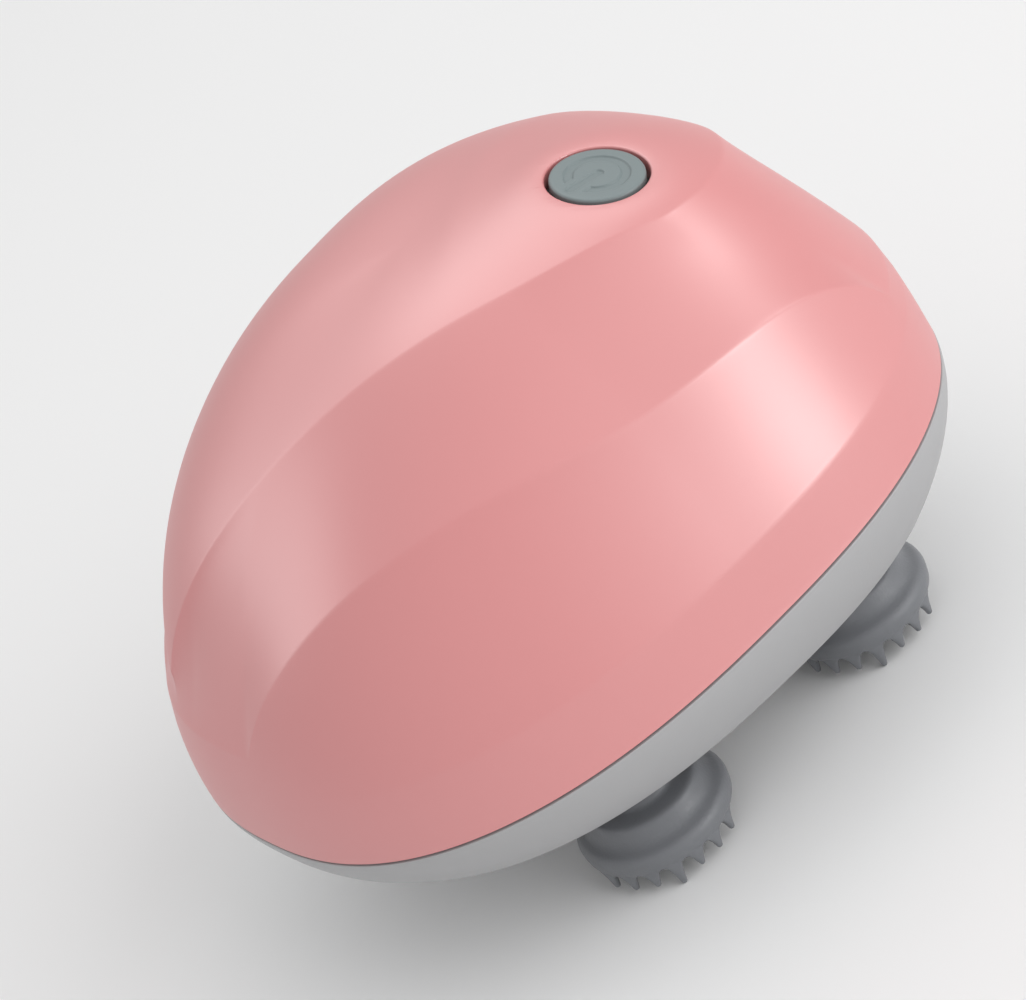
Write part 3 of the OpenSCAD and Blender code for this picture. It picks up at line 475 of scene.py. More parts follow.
METAL = {"texture": Texture.TURNED, "metallic": 1.0}
FINISHES = {
    "shell_pink": Finish("pink satin shell", (208, 126, 126), (204, 122, 123), gloss=(0.36, 0.4),
                         drift=0.25, depth=0.01, broad=25.0, specular=1.0, bend=1.7),
    "shell_grey": Finish("pale grey shell", (166, 166, 167), (161, 161, 163), gloss=(0.42, 0.48),
                         depth=0.03, broad=30.0),
    "seam_dark": Finish("joint rubber", (58, 58, 62), (40, 40, 44), gloss=(0.6, 0.75), depth=0.2),
    "button_grey": Finish("grey button", (116, 127, 128), (111, 122, 123), gloss=(0.4, 0.5),
                          depth=0.05, broad=120.0),
    "head_silicone": Finish("dark silicone", (116, 118, 122), (105, 107, 112), gloss=(0.42, 0.5),
                            depth=0.12, broad=90.0, sheen=0.1),
    "nylon_white": Finish("natural nylon", (232, 230, 218), (222, 218, 202), gloss=(0.4, 0.5)),
    "nylon_black": Finish("black nylon", (52, 52, 55), (38, 38, 41), gloss=(0.42, 0.55),
                          depth=0.15),
    "steel": Finish("ground steel", (196, 197, 200), (168, 169, 174), gloss=(0.2, 0.34),
                    **METAL),
    "motor_zinc": Finish("zinc plated can", (182, 184, 188), (160, 163, 170), gloss=(0.3, 0.45),
                         grain=900.0, **METAL),
    "brass": Finish("turned brass", (214, 178, 104), (196, 156, 84), gloss=(0.22, 0.38),
                    **METAL),
    "screw_zinc": Finish("zinc plated screw", (190, 192, 196), (150, 152, 158), gloss=(0.25, 0.4),
                         grain=5000.0, **METAL),
    "bracket_grey": Finish("grey bracket", (128, 130, 134), (116, 118, 123), gloss=(0.45, 0.58),
                           depth=0.15),
    "board_green": Finish("solder mask", (24, 92, 50), (62, 138, 76), gloss=(0.22, 0.36),
                          texture=Texture.BOARD, drift=0.8, grain=600.0, coat=0.4),
    "cell_wrap": Finish("shrink wrap", (66, 108, 158), (54, 92, 140), gloss=(0.22, 0.34),
                        depth=0.04, coat=0.5),
    "seal_black": Finish("seal rubber", (42, 42, 45), (30, 30, 33), gloss=(0.5, 0.65), depth=0.2),
    "cover_silicone": Finish("grey silicone", (176, 176, 178), (160, 160, 163), gloss=(0.5, 0.62),
                             depth=0.12, sheen=0.1),
    "lead_red": Finish("red sheath", (176, 44, 38), (150, 34, 32), gloss=(0.4, 0.5)),
    "lead_yellow": Finish("yellow sheath", (214, 172, 48), (196, 150, 36), gloss=(0.4, 0.5)),
    "lead_white": Finish("white sheath", (226, 226, 222), (206, 206, 200), gloss=(0.4, 0.5)),
}


@dataclass(frozen=True)
class Housing:
    """The housing's form, shared by the shells and by all that sits in them, in millimetres."""

    length: float = 120.0
    width: float = 100.0
    dome: float = 52.3
    seam: float = 34.2
    tilt: float = math.tan(math.radians(1.5))
    underside: float = 21.0
    wall: float = 2.6
    floor: float = 2.2
    gasket: float = 0.4
    edge: float = 0.15
    foot: float = 0.87
    draw: float = 1.7
    outline: float = 2.47
    egg: float = 0.087
    apex: tuple[float, float] = (5.0, 0.0)
    # Creases: circles in plan and a share of the height, and how deep each band sinks.
    end_middle: tuple[float, float] = (24.5, -5.4)
    end_radius: float = 24.4
    long_radius: float = 146.0
    long_x: float = 56.5
    back_middle: tuple[float, float] = (-8.0, -60.0)
    side_radius: float = 97.5
    side_crests: tuple[tuple[float, float], ...] = ((19.5, -42.0), (12.0, 48.0))
    low_share: float = 0.2
    least_band: float = 0.08
    dips: tuple[float, float, float] = (0.5, 1.1, 1.5)
    full_band: float = 20.0
    crease_round: float = 0.16
    front_slope: float = 0.16
    front_round: float = 0.2
    front_spread: float = 7.0
    # Soft wave on the far side and the raised front shoulder, each within a bell.
    far_middle: tuple[float, float] = (78.6, -96.6)
    far_radius: float = 114.0
    far_dip: float = 0.6
    far_spread: float = 10.0
    far_round: float = 2.0
    far_at: tuple[float, float] = (20.0, 14.0)
    far_bell: float = 22.0
    shoulder: float = 1.1
    shoulder_at: tuple[float, float] = (46.0, -12.0)
    shoulder_bell: float = 14.0
    # Flat seat of the button.
    button_at: tuple[float, float] = (26.0, -18.0)
    button_lean: float = math.radians(21.0)
    button_turn: float = math.radians(-46.0)
    button_sink: float = 0.3
    flat_radius: float = 10.5
    columns: int = 400

    def rim(self, turn: np.ndarray, inset: float | np.ndarray = 0.0) -> np.ndarray:
        """Outline at the joint.

        Args:
            turn: angle round the housing.
            inset: distance by which both half sizes shrink.

        Returns:
            x and y: the half length times cos to 2/2.47, and the half width times sin to 2/2.47,
            a little wider where x is large.
        """
        power = 2.0 / self.outline
        c, s = signed_power(np.cos(turn), power), signed_power(np.sin(turn), power)
        half_length, half_width = self.length / 2 - inset, self.width / 2 - inset
        return np.stack([half_length * c, half_width * s * (1 + self.egg * c)], axis=-1)

    def turns(self) -> np.ndarray:
        """Angles of the columns.

        Returns:
            Angles from the +X end round, whose points lie at equal distances along the outline:
            they are read from the lengths along a fine outline.
        """
        fine = np.linspace(0.0, 2.0 * math.pi, 14401)
        along = lengths(self.rim(fine))
        return np.interp(np.arange(self.columns) * along[-1] / self.columns, along, fine)

    def joint(self, x: np.ndarray) -> np.ndarray:
        """Height of the joint's middle, which rises along X."""
        return self.seam + x * self.tilt

    def powers(self, turn: np.ndarray) -> tuple[np.ndarray, np.ndarray]:
        """Powers of the upright superellipse at each angle, for its height and for its reach."""
        crown = 1.81 + 0.24 * np.cos(turn) + 0.32 * np.cos(2 * turn)
        return crown, 2.66 + 0.3 * np.cos(turn) - 0.3 * np.cos(2 * turn)

    def bare(self, turn: np.ndarray, climb: np.ndarray, inset: float = 0.0) -> np.ndarray:
        """Dome without its creases.

        Args:
            turn: angle round the housing.
            climb: 0 at the joint, a quarter turn at the top.
            inset: depth below the outside.

        Returns:
            Points: the reach from the apex is cos(climb) to 2/side, the share of the height is
            sin(climb) to 2/crown, and a bell shaped rise lifts the front shoulder.
        """
        crown, side = self.powers(turn)
        share = np.abs(np.sin(climb)) ** (2 / crown)
        reach = np.abs(np.cos(climb)) ** (2 / side)
        rim = self.rim(turn, inset)
        plan = self.apex + (rim - self.apex) * reach[..., None]
        shoulder = self.shoulder * bell(plan, self.shoulder_at, self.shoulder_bell)
        rise = (self.dome - inset) * share + shoulder * share * share * (3 - 2 * share)
        z = self.joint(plan[..., 0] * (1 - share)) + rise + self.gasket / 2
        return raised(plan, z)

    def ray(self, turn: np.ndarray, middle: Sequence[float], radius: float) -> np.ndarray:
        """Where a circle in plan is met on the way from the apex to the outline.

        Args:
            turn: angle round the housing.
            middle: middle of the circle.
            radius: radius of the circle.

        Returns:
            Share of the way, as the larger root of |way t + off|^2 = radius^2.
        """
        way = self.rim(turn) - self.apex
        off = np.subtract(self.apex, middle)
        square, dot = (way * way).sum(-1), way @ off
        rest = off @ off - radius * radius
        return (-dot + np.sqrt(np.maximum(0.0, dot * dot - square * rest))) / square

    def creases(self, turn: np.ndarray) -> np.ndarray:
        """Climb of the low, the middle and the top crease.

        Args:
            turn: angle round the housing.

        Returns:
            A row for each crease, which is a circle in plan or a share of the height. The climb is
            the arc cosine of the reach to side/2, or the arc sine of the share to crown/2.
        """
        crown, side = self.powers(turn)
        end, r = self.end_middle, self.end_radius
        drop = math.sqrt(self.long_radius ** 2 - (self.long_x - end[0]) ** 2)
        long_middle = (self.long_x, end[1] - r + drop)
        gap = math.dist(end, self.back_middle)
        joint_y = self.back_middle[1] + (gap + r) * (end[1] - self.back_middle[1]) / gap
        front = self.ray(turn, end, r)
        at = np.asarray(self.apex) + (self.rim(turn) - self.apex) * front[..., None]
        back = np.minimum(self.ray(turn, long_middle, self.long_radius),
                          self.ray(turn, self.back_middle, gap + r))
        top = np.where((at[..., 0] > end[0]) & (at[..., 1] < joint_y), front, back)
        middle = np.minimum(*(
            self.ray(turn, (x, y - math.copysign(self.side_radius, y)), self.side_radius)
            for x, y in self.side_crests))
        share = np.maximum(self.low_share + self.least_band,
                           (1 - np.minimum(middle, 1) ** side) ** (1 / crown))
        return np.stack([np.arcsin(self.low_share ** (crown / 2)), np.arcsin(share ** (crown / 2)),
                         np.arccos(np.minimum(top, 1) ** (side / 2))])

    def skin(self, turn: np.ndarray, climb: np.ndarray) -> np.ndarray:
        """Outside of the dome with its hollows and creases.

        Args:
            turn: angle round the housing.
            climb: 0 at the joint, a quarter turn at the top.

        Returns:
            Points of the bare dome moved along its outward direction: in each band between creases
            by -4 d s (1 - s), and at each crease by k (|x| - sqrt(x^2 + r^2)), which rounds it.
            Below the top crease's front they drop by slope times x times exp(-x / 7). Outside the
            far circle they drop by a wave w exp(1 - w) of the distance, within a bell.
            Round the button they move to its plane by 1 / (1 + (distance / 10.5)^6) of the way.
        """
        base = self.bare(turn, climb)
        levels = [np.zeros(turn.shape), *self.creases(turn), np.full(turn.shape, math.pi / 2)]
        corners = [self.bare(turn, level) for level in levels]
        widths = [np.linalg.norm(b - a, axis=-1) for a, b in zip(corners[:-1], corners[1:])]
        fade = np.sin(turn) ** 2
        deep = [self.dips[0] * fade, self.dips[1] * fade, self.dips[2] + 0 * fade, 0 * fade]
        deep = [d * np.minimum(1.0, w / self.full_band) for d, w in zip(deep, widths)]
        shares = [np.clip((climb - a) / (b - a), 0, 1) for a, b in zip(levels[:-1], levels[1:])]
        move = -4 * sum(d * s * (1 - s) for d, s in zip(deep, shares))
        for k in (1, 2, 3):
            slope = 2 * (deep[k - 1] / widths[k - 1] + deep[k] / widths[k])
            x = np.where(climb > levels[k], shares[k] * widths[k],
                         (1 - shares[k - 1]) * widths[k - 1])
            move = move + slope * (x - np.sqrt(x * x + self.crease_round ** 2))
        below = (1 - shares[2]) * widths[2]
        front = self.front_slope * np.maximum(0.0, np.cos(turn)) ** 2
        drop = np.sqrt(below * below + self.front_round ** 2) - self.front_round
        move = move - front * drop * np.exp(-below / self.front_spread)
        away = np.linalg.norm(base[..., :2] - self.far_middle, axis=-1) - self.far_radius
        wave = (away + np.sqrt(away * away + self.far_round)) / 2 / self.far_spread
        wave = wave * np.exp(1 - wave) * bell(base, self.far_at, self.far_bell)
        move = move - self.far_dip * wave
        seat = self.button
        near = 1 / (1 + (np.linalg.norm(seat.flat(base), axis=-1) / self.flat_radius) ** 6)
        sink = seat.height(base) * near
        return base + self.outward(base) * move[..., None] - seat.normal * sink[..., None]

    @cached_property
    def button(self) -> Plane:
        """Frame of the button.

        Returns:
            A plane whose middle lies a little under the bare dome and whose normal leans out. The
            angle whose ray from the apex passes the button is read from a fine outline, and the
            climb there is the arc cosine of the reach to side/2.
        """
        x, y = self.button_at
        way = math.atan2(y - self.apex[1], x - self.apex[0])
        fine = np.linspace(-math.pi / 2, 0, 20001)
        rays = self.rim(fine) - self.apex
        at = np.array(np.interp(way, np.arctan2(rays[:, 1], rays[:, 0]), fine))
        reach = math.hypot(x - self.apex[0], y) / float(np.linalg.norm(self.rim(at) - self.apex))
        _, side = self.powers(at)
        z = float(self.bare(at, np.arccos(reach ** (side / 2)))[2]) - self.button_sink
        c, s = math.cos(self.button_turn), math.sin(self.button_turn)
        up, out = math.cos(self.button_lean), math.sin(self.button_lean)
        return Plane(np.array([x, y, z]), np.array([up * c, up * s, -out]), np.array([-s, c, 0.0]),
                     np.array([out * c, out * s, up]))

    def outward(self, points: np.ndarray) -> np.ndarray:
        """Direction away from the dome.

        Args:
            points: places on the dome.

        Returns:
            Unit directions of the offset from its middle over its squared half sizes.
        """
        half = np.array([self.length / 2, self.width / 2, self.dome])
        way = (points - [*self.apex, self.seam]) / half ** 2
        return way / np.linalg.norm(way, axis=-1, keepdims=True)

    def lip(self, turn: np.ndarray, side: int) -> np.ndarray:
        """Rounded edge beside the joint.

        Args:
            turn: angle round the housing.
            side: 1 above the joint, -1 below it.

        Returns:
            Rows of a quarter circle from the flat rim outwards: the inset is r (1 - sin), the
            distance from the gasket r (1 - cos).
        """
        swing = np.radians([0.0, 30.0, 60.0])[:, None]
        rim = self.rim(turn[None], self.edge * (1 - np.sin(swing)))
        lift = side * (self.gasket / 2 + self.edge * (1 - np.cos(swing)))
        return raised(rim, self.joint(rim[..., 0]) + lift)

    def side(self, turn: np.ndarray, down: np.ndarray, inset: float, low: float) -> np.ndarray:
        """Side of the base.

        Args:
            turn: angle round the housing.
            down: 0 at the joint, 1 at the low level.
            inset: depth below the outside.
            low: height of the low level.

        Returns:
            Points of the outline, which shrinks by 13% of down^1.7 on the way.
        """
        rim = self.rim(turn, inset) * (1 - (1 - self.foot) * down ** self.draw)[..., None]
        top = self.joint(rim[..., 0]) - self.gasket / 2
        return raised(rim, top + (low - top) * down)


@dataclass
class Window:
    """A hole through a skin: its plane, its outline and how far the skin is cleared round it."""

    plane: Plane
    outline: Callable[[float], np.ndarray]
    reach: Callable[[np.ndarray], np.ndarray]
    margin: float
    depth: float = 9.0

    @classmethod
    def round(cls, plane: Plane, radius: float, fillet: float = 0.0,
              margin: float = 0.5) -> "Window":
        """A round hole; its reach is the distance to the middle less the radius and the fillet."""
        return cls(plane, lambda grow: circle(radius + grow, 96),
                   lambda flat: np.linalg.norm(flat, axis=-1) - radius - fillet, margin)

    @classmethod
    def slot(cls, plane: Plane, half: tuple[float, float], corner: float, fillet: float = 0.0,
             margin: float = 0.5) -> "Window":
        """A rectangular hole; its reach is the larger way past a half size, less the fillet."""
        return cls(plane, lambda grow: rounded_rectangle(*np.add(half, grow), corner + grow),
                   lambda flat: (np.abs(flat) - half).max(-1) - fillet, margin)

    def clear(self, skin: Skin, grid: np.ndarray) -> tuple[np.ndarray, np.ndarray]:
        """Finds what the hole takes out of a grid.

        Args:
            skin: the skin that the grid belongs to.
            grid: rows of point numbers.

        Returns:
            True for each quad that goes, and the numbers of the points round the gap, in order.
            The order comes from doubling: each edge of the gap leads from one point to the next,
            and the steps left to the last point are added up over jumps of 1, 2, 4 and so on.
        """
        points = skin.point(grid)
        inside = self.reach(self.plane.flat(points)) < self.margin
        inside &= np.abs(self.plane.height(points)) < self.depth
        side = inside | np.roll(inside, -1, axis=1)
        gone = side[:-1] | side[1:]
        after = np.roll(grid, -1, axis=1)
        padded = np.pad(gone, ((1, 1), (0, 0)))
        edges = ((grid[:-1], after[:-1], padded[:-2]), (after[1:], grid[1:], padded[2:]),
                 (after[:-1], after[1:], np.roll(gone, -1, axis=1)),
                 (grid[1:], grid[:-1], np.roll(gone, 1, axis=1)))
        starts, ends = (np.concatenate([edge[k][gone & ~edge[2]] for edge in edges])
                        for k in (0, 1))
        order = np.argsort(starts)
        starts = starts[order]
        jump = np.searchsorted(starts, ends[order])
        left = np.ones(len(jump), int)
        last = int(np.flatnonzero(jump == 0)[0])
        jump[last], left[last] = last, 0
        for _ in range(len(jump).bit_length()):
            left, jump = left + left[jump], jump[jump]
        return gone, starts[np.argsort(-left)]

    def trace(self, surface: Surface, turn: np.ndarray, climb: np.ndarray,
              grow: float) -> np.ndarray:
        """Lays the outline on a surface, looking along the plane's normal.

        Args:
            surface: points from an angle and a climb.
            turn: angles of known points of the surface.
            climb: climbs of known points of the surface.
            grow: distance by which the outline is larger than the hole.

        Returns:
            Points of the surface that lie over the outline, by Newton steps from the nearest known
            point, with the slopes taken over a small step.
        """
        def cross(a: np.ndarray, b: np.ndarray) -> np.ndarray:
            """Product a0 b1 - a1 b0 of each pair."""
            return a[:, 0] * b[:, 1] - a[:, 1] * b[:, 0]

        goal = self.outline(grow)
        known = surface(turn, climb)
        near = np.abs(self.plane.height(known)) < self.depth
        turn, climb, known = turn[near], climb[near], self.plane.flat(known[near])
        best = np.argmin(((goal[:, None] - known[None]) ** 2).sum(-1), axis=1)
        turn, climb, step = turn[best], climb[best], 1e-5
        for _ in range(12):
            at = self.plane.flat(surface(turn, climb))
            along = (self.plane.flat(surface(turn + step, climb)) - at) / step
            up = (self.plane.flat(surface(turn, climb + step)) - at) / step
            miss, area = goal - at, cross(along, up)
            turn = turn + np.clip(cross(miss, up) / area, -0.05, 0.05)
            climb = climb + np.clip(cross(along, miss) / area, -0.05, 0.05)
        return surface(turn, climb)


TRAIN_X = 3.6
HEAD_OFF = 31.2 / math.sqrt(2)
CORNERS = ((-1, -1), (1, -1), (1, 1), (-1, 1))
SHELL_POSTS = ((48.5, 13.0), (3.6, 38.5), (-48.5, 0.0), (3.6, -38.5), (48.5, -13.0))
GEAR_POSTS = ((31.6, 0.0), (3.6, 28.0), (-33.3, 0.0), (3.6, -28.0))
# Sections as radius and height, the dome's above the joint and the base's above the ground.
DOME_POST = np.array([[0, 9.8], [1.2, 9.8], [1.2, 0], [3, 0], [3, 12], [0, 12]])
DOME_RIB = np.array([[2.0, -1.0, 0.6], [9.6, 1.0, 5.6]])
GEAR_POST = np.array([[0, 23.7], [1.2, 23.7], [1.2, 30], [2.8, 30], [3, 29.8], [3, 22.7],
                      [0, 22.7]])
TRAIN_FOOT = np.array([[0, 22.75], [2.05, 22.75], [2.05, 24.8], [3.8, 24.8], [4, 24.6], [4, 22.7],
                       [0, 22.7]])


@dataclass
class UpperShell:
    """The creased dome, with the button's hole and guide tube and the charging port's pocket."""

    form: Housing
    hole: float = 7.2
    bore: float = 8.0
    guide: float = 9.6
    guide_length: float = 9.0
    shoulder: float = -2.9
    fillet: float = 0.35
    port_at: tuple[float, float] = (60.0, 44.65)
    port_half: tuple[float, float] = (8.35, 4.55)
    port_corner: float = 1.0
    port_fillet: float = 0.25
    port_depth: float = 2.1
    socket_half: tuple[float, float] = (4.85, 2.0)
    socket_corner: float = 0.5
    rows: tuple[int, int, int, int] = (12, 26, 30, 34)
    inner_rows: int = 24
    inner_start: float = 0.02

    def climbs(self, turn: np.ndarray) -> np.ndarray:
        """Rows of climbs for the dome's grid.

        Args:
            turn: angle of each column.

        Returns:
            Climbs from 2.2 edge radii up, which follow the creases and lie closer beside them.
        """
        crown, _ = self.form.powers(turn)
        low = np.arcsin((2.2 * self.form.edge / self.form.dome) ** (crown / 2))
        levels = [low, *self.form.creases(turn), np.full(len(turn), math.pi / 2)]
        return np.concatenate([a + (b - a) * clustered(count, 0.6)[:-1, None]
                               for count, a, b in zip(self.rows, levels[:-1], levels[1:])])

    def holes(self) -> list[tuple[Window, Window, list[tuple[np.ndarray, float]], float]]:
        """The button's round hole with its guide tube, and the port's pocket.

        Returns:
            For each the hole outside, the hole inside, the outline and height of each ring between
            them, and the radius of its rounded edge.
        """
        seat, port = self.form.button, end_plane(*self.port_at)
        mouth, bore, guide = (circle(radius, 96) for radius in (self.hole, self.bore, self.guide))
        pocket = Window.slot(port, self.port_half, self.port_corner, self.port_fillet)
        socket = Window.slot(port, self.socket_half, self.socket_corner, margin=0.3)
        return [
            (Window.round(seat, self.hole, self.fillet), Window.round(seat, self.guide, margin=0.3),
             [(mouth, self.shoulder), (bore, self.shoulder), (bore, -self.guide_length),
              (guide, -self.guide_length)], self.fillet),
            (pocket, socket, [(pocket.outline(0.0), -self.port_depth),
                              (socket.outline(0.0), -self.port_depth)], self.port_fillet)]

    @staticmethod
    def tunnel(skin: Skin, window: Window, top: np.ndarray,
               steps: Sequence[tuple[np.ndarray, float]], fillet: float,
               low: np.ndarray) -> tuple[np.ndarray, np.ndarray]:
        """Leads a hole from the outside through to the inside.

        Args:
            skin: the skin that it belongs to.
            window: the hole.
            top: points of the outside round the hole.
            steps: outline and height of each ring on the way down.
            fillet: radius of the rounded edge.
            low: points of the inside round the hole.

        Returns:
            Numbers of the first and of the last ring.
        """
        height = window.plane.height(top)
        rings = [skin.add(top)]
        for angle in np.radians([22.5, 45.0, 67.5, 90.0]):
            flat = window.outline(fillet * (1 - math.sin(angle)))
            level = height - fillet * (1 - math.cos(angle))
            rings.append(skin.add(window.plane.place(flat, level)))
        rings += [skin.add(window.plane.place(flat, level)) for flat, level in steps]
        rings.append(skin.add(low))
        skin.strip(rings)
        return rings[0], rings[-1]

    def posts(self, skin: Skin) -> None:
        """Adds the screw posts, each with its hole and a rib out to the wall.

        Args:
            skin: the dome's skin.
        """
        form = self.form
        for x, y in SHELL_POSTS:
            z = form.joint(x) + form.gasket / 2
            out = math.atan2(y, x - TRAIN_X)
            c, s = math.cos(out), math.sin(out)
            plane = Plane(np.array([x, y, z]), *np.array([[c, s, 0.0], [-s, c, 0.0], [0, 0, 1.0]]))
            skin.turned(DOME_POST, plane)
            skin.box(*DOME_RIB, plane)

    def build(self) -> None:
        """Makes the dome: outside, rounded edge, inside, holes and posts."""
        form, skin = self.form, Skin()
        turn = form.turns()
        climb = self.climbs(turn)
        turns = np.broadcast_to(turn, climb.shape)
        outer = skin.add(np.concatenate([form.lip(turn, 1), form.skin(turns, climb)]))
        way = (math.pi / 2 - self.inner_start) * clustered(self.inner_rows, 0.2)[:-1]
        rise = np.concatenate([[0.0], self.inner_start + way])
        inner_turn, inner_climb = np.meshgrid(turn, rise)
        within: Surface = lambda a, w: form.bare(a, w, form.wall)
        inner = skin.add(within(inner_turn, inner_climb))
        gone_out, gone_in = (np.zeros((len(grid) - 1, len(turn)), bool) for grid in (outer, inner))
        for window, below, steps, fillet in self.holes():
            gone, loop = window.clear(skin, outer)
            gone_low, loop_low = below.clear(skin, inner)
            top = window.trace(form.skin, turns.ravel(), climb.ravel(), fillet)
            low = below.trace(within, inner_turn[1:].ravel(), inner_climb[1:].ravel(), 0.0)
            first, last = self.tunnel(skin, window, top, steps, fillet, low)
            skin.fill([loop, first], window.plane)
            skin.fill([loop_low, last], below.plane)
            gone_out |= gone
            gone_in |= gone_low
        skin.strip(outer, gone_out)
        skin.strip(inner, gone_in)
        skin.strip([inner[0], outer[0]])
        peak = form.skin(np.array([0.0]), np.array([math.pi / 2]))[0]
        skin.fan(outer[-1], peak)
        skin.fan(inner[-1], peak - [0, 0, form.wall])
        self.posts(skin)
        skin.piece("upper_shell_dome", "housing", "shell_pink", "upper_shell")


def head_place(index: int) -> tuple[float, float]:
    """Middle of a head in plan, on a diagonal of the square pattern."""
    return TRAIN_X + HEAD_OFF * CORNERS[index][0], HEAD_OFF * CORNERS[index][1]


@dataclass
class BaseShell:
    """The pale base: a side that draws in, a flat underside and the posts on its floor."""

    form: Housing
    rows: int = 26
    inner_rows: int = 12
    start: float = 0.012
    span: float = 0.965
    bend: float = 0.3
    bush: float = 4.3
    chamfers: tuple[float, float] = (0.25, 0.2)
    screw: float = 2.4
    screw_top: float = 23.1

    def sides(self, skin: Skin) -> tuple[np.ndarray, np.ndarray]:
        """Adds the outer and the inner side.

        Args:
            skin: the skin that they belong to.

        Returns:
            Numbers of the lowest ring of each. The outer one ends in a bend: the parabola
            (1 - s)^2 side + 2 s (1 - s) corner + s^2 inward.
        """
        form = self.form
        turn = form.turns()
        down = (self.start + self.span * clustered(self.rows, 0.3))[:, None] + 0 * turn
        side = form.side(turn[None], down, 0.0, form.underside)
        corner = form.side(turn, np.ones(len(turn)), 0.0, form.underside)
        inward = corner * np.array([1 - self.bend / 55, 1 - self.bend / 45, 1.0])
        share = np.linspace(0, 1, 6)[1:, None, None]
        bend = (1 - share) ** 2 * side[-1] + 2 * share * (1 - share) * corner + share ** 2 * inward
        outer = skin.add(np.concatenate([form.lip(turn, -1), side, bend]))
        fall = clustered(self.inner_rows, 0.3)[:, None] + 0 * turn
        inner = skin.add(form.side(turn[None], fall, form.wall, form.underside + form.floor))
        skin.strip(outer)
        skin.strip(inner)
        skin.strip([outer[0], inner[0]])
        return outer[-1], inner[-1]

    def build(self) -> None:
        """Makes the base from its two sides, its two flats and its posts."""
        form, skin = self.form, Skin()
        under, floor_top = form.underside, form.underside + form.floor
        outer, inner = self.sides(skin)
        low, high = [outer], [inner]
        below, above = self.chamfers
        for k in range(4):
            plane = level_plane(*head_place(k))
            rings = skin.sleeve(plane, [(circle(self.bush + grow, 64), level) for grow, level in (
                (below, under), (0.0, under + below),
                (0.0, floor_top - above), (above, floor_top))])
            low.append(rings[0])
            high.append(rings[-1])
        for x, y in SHELL_POSTS:
            plane = level_plane(x, y)
            rings = skin.sleeve(plane, [(circle(self.screw), z) for z in (under, self.screw_top)])
            skin.fan(rings[-1], plane.place(np.zeros(2), self.screw_top))
            low.append(rings[0])
            peak = float(form.joint(x)) - form.gasket / 2
            skin.turned(np.array([[1.3, 22.7], [1.3, peak - 0.2], [1.5, peak], [3, peak],
                                  [3, 22.7]]), plane)
        skin.fill(low, level_plane(0, 0, under))
        skin.fill(high, level_plane(0, 0, floor_top))
        for x, y in GEAR_POSTS:
            skin.turned(GEAR_POST, level_plane(x, y))
        skin.turned(TRAIN_FOOT, level_plane(TRAIN_X, 0))
        skin.piece("base_shell_body", "housing", "shell_grey", "base_shell")


@dataclass
class SeamGasket:
    """The dark strip in the joint, set back from the outside."""

    form: Housing
    set_back: float = 0.5
    inside: float = 2.4

    def build(self) -> None:
        """Sweeps a flat section with a rounded front along the outline."""
        form, skin = self.form, Skin()
        turn = form.turns()
        half = form.gasket / 2
        swing = np.radians([90.0, 60.0, 30.0, 0.0, -30.0, -60.0, -90.0])
        inset = np.append(self.set_back + half * (1 - np.cos(swing)), [self.inside, self.inside])
        lift = np.append(half * np.sin(swing), [-half, half])[:, None]
        rim = form.rim(turn[None], inset[:, None])
        rings = skin.add(raised(rim, form.joint(rim[..., 0]) + lift))
        skin.strip(rings)
        skin.strip([rings[-1], rings[0]])
        skin.piece("seam_gasket_strip", "housing", "seam_dark", "seam_gasket")


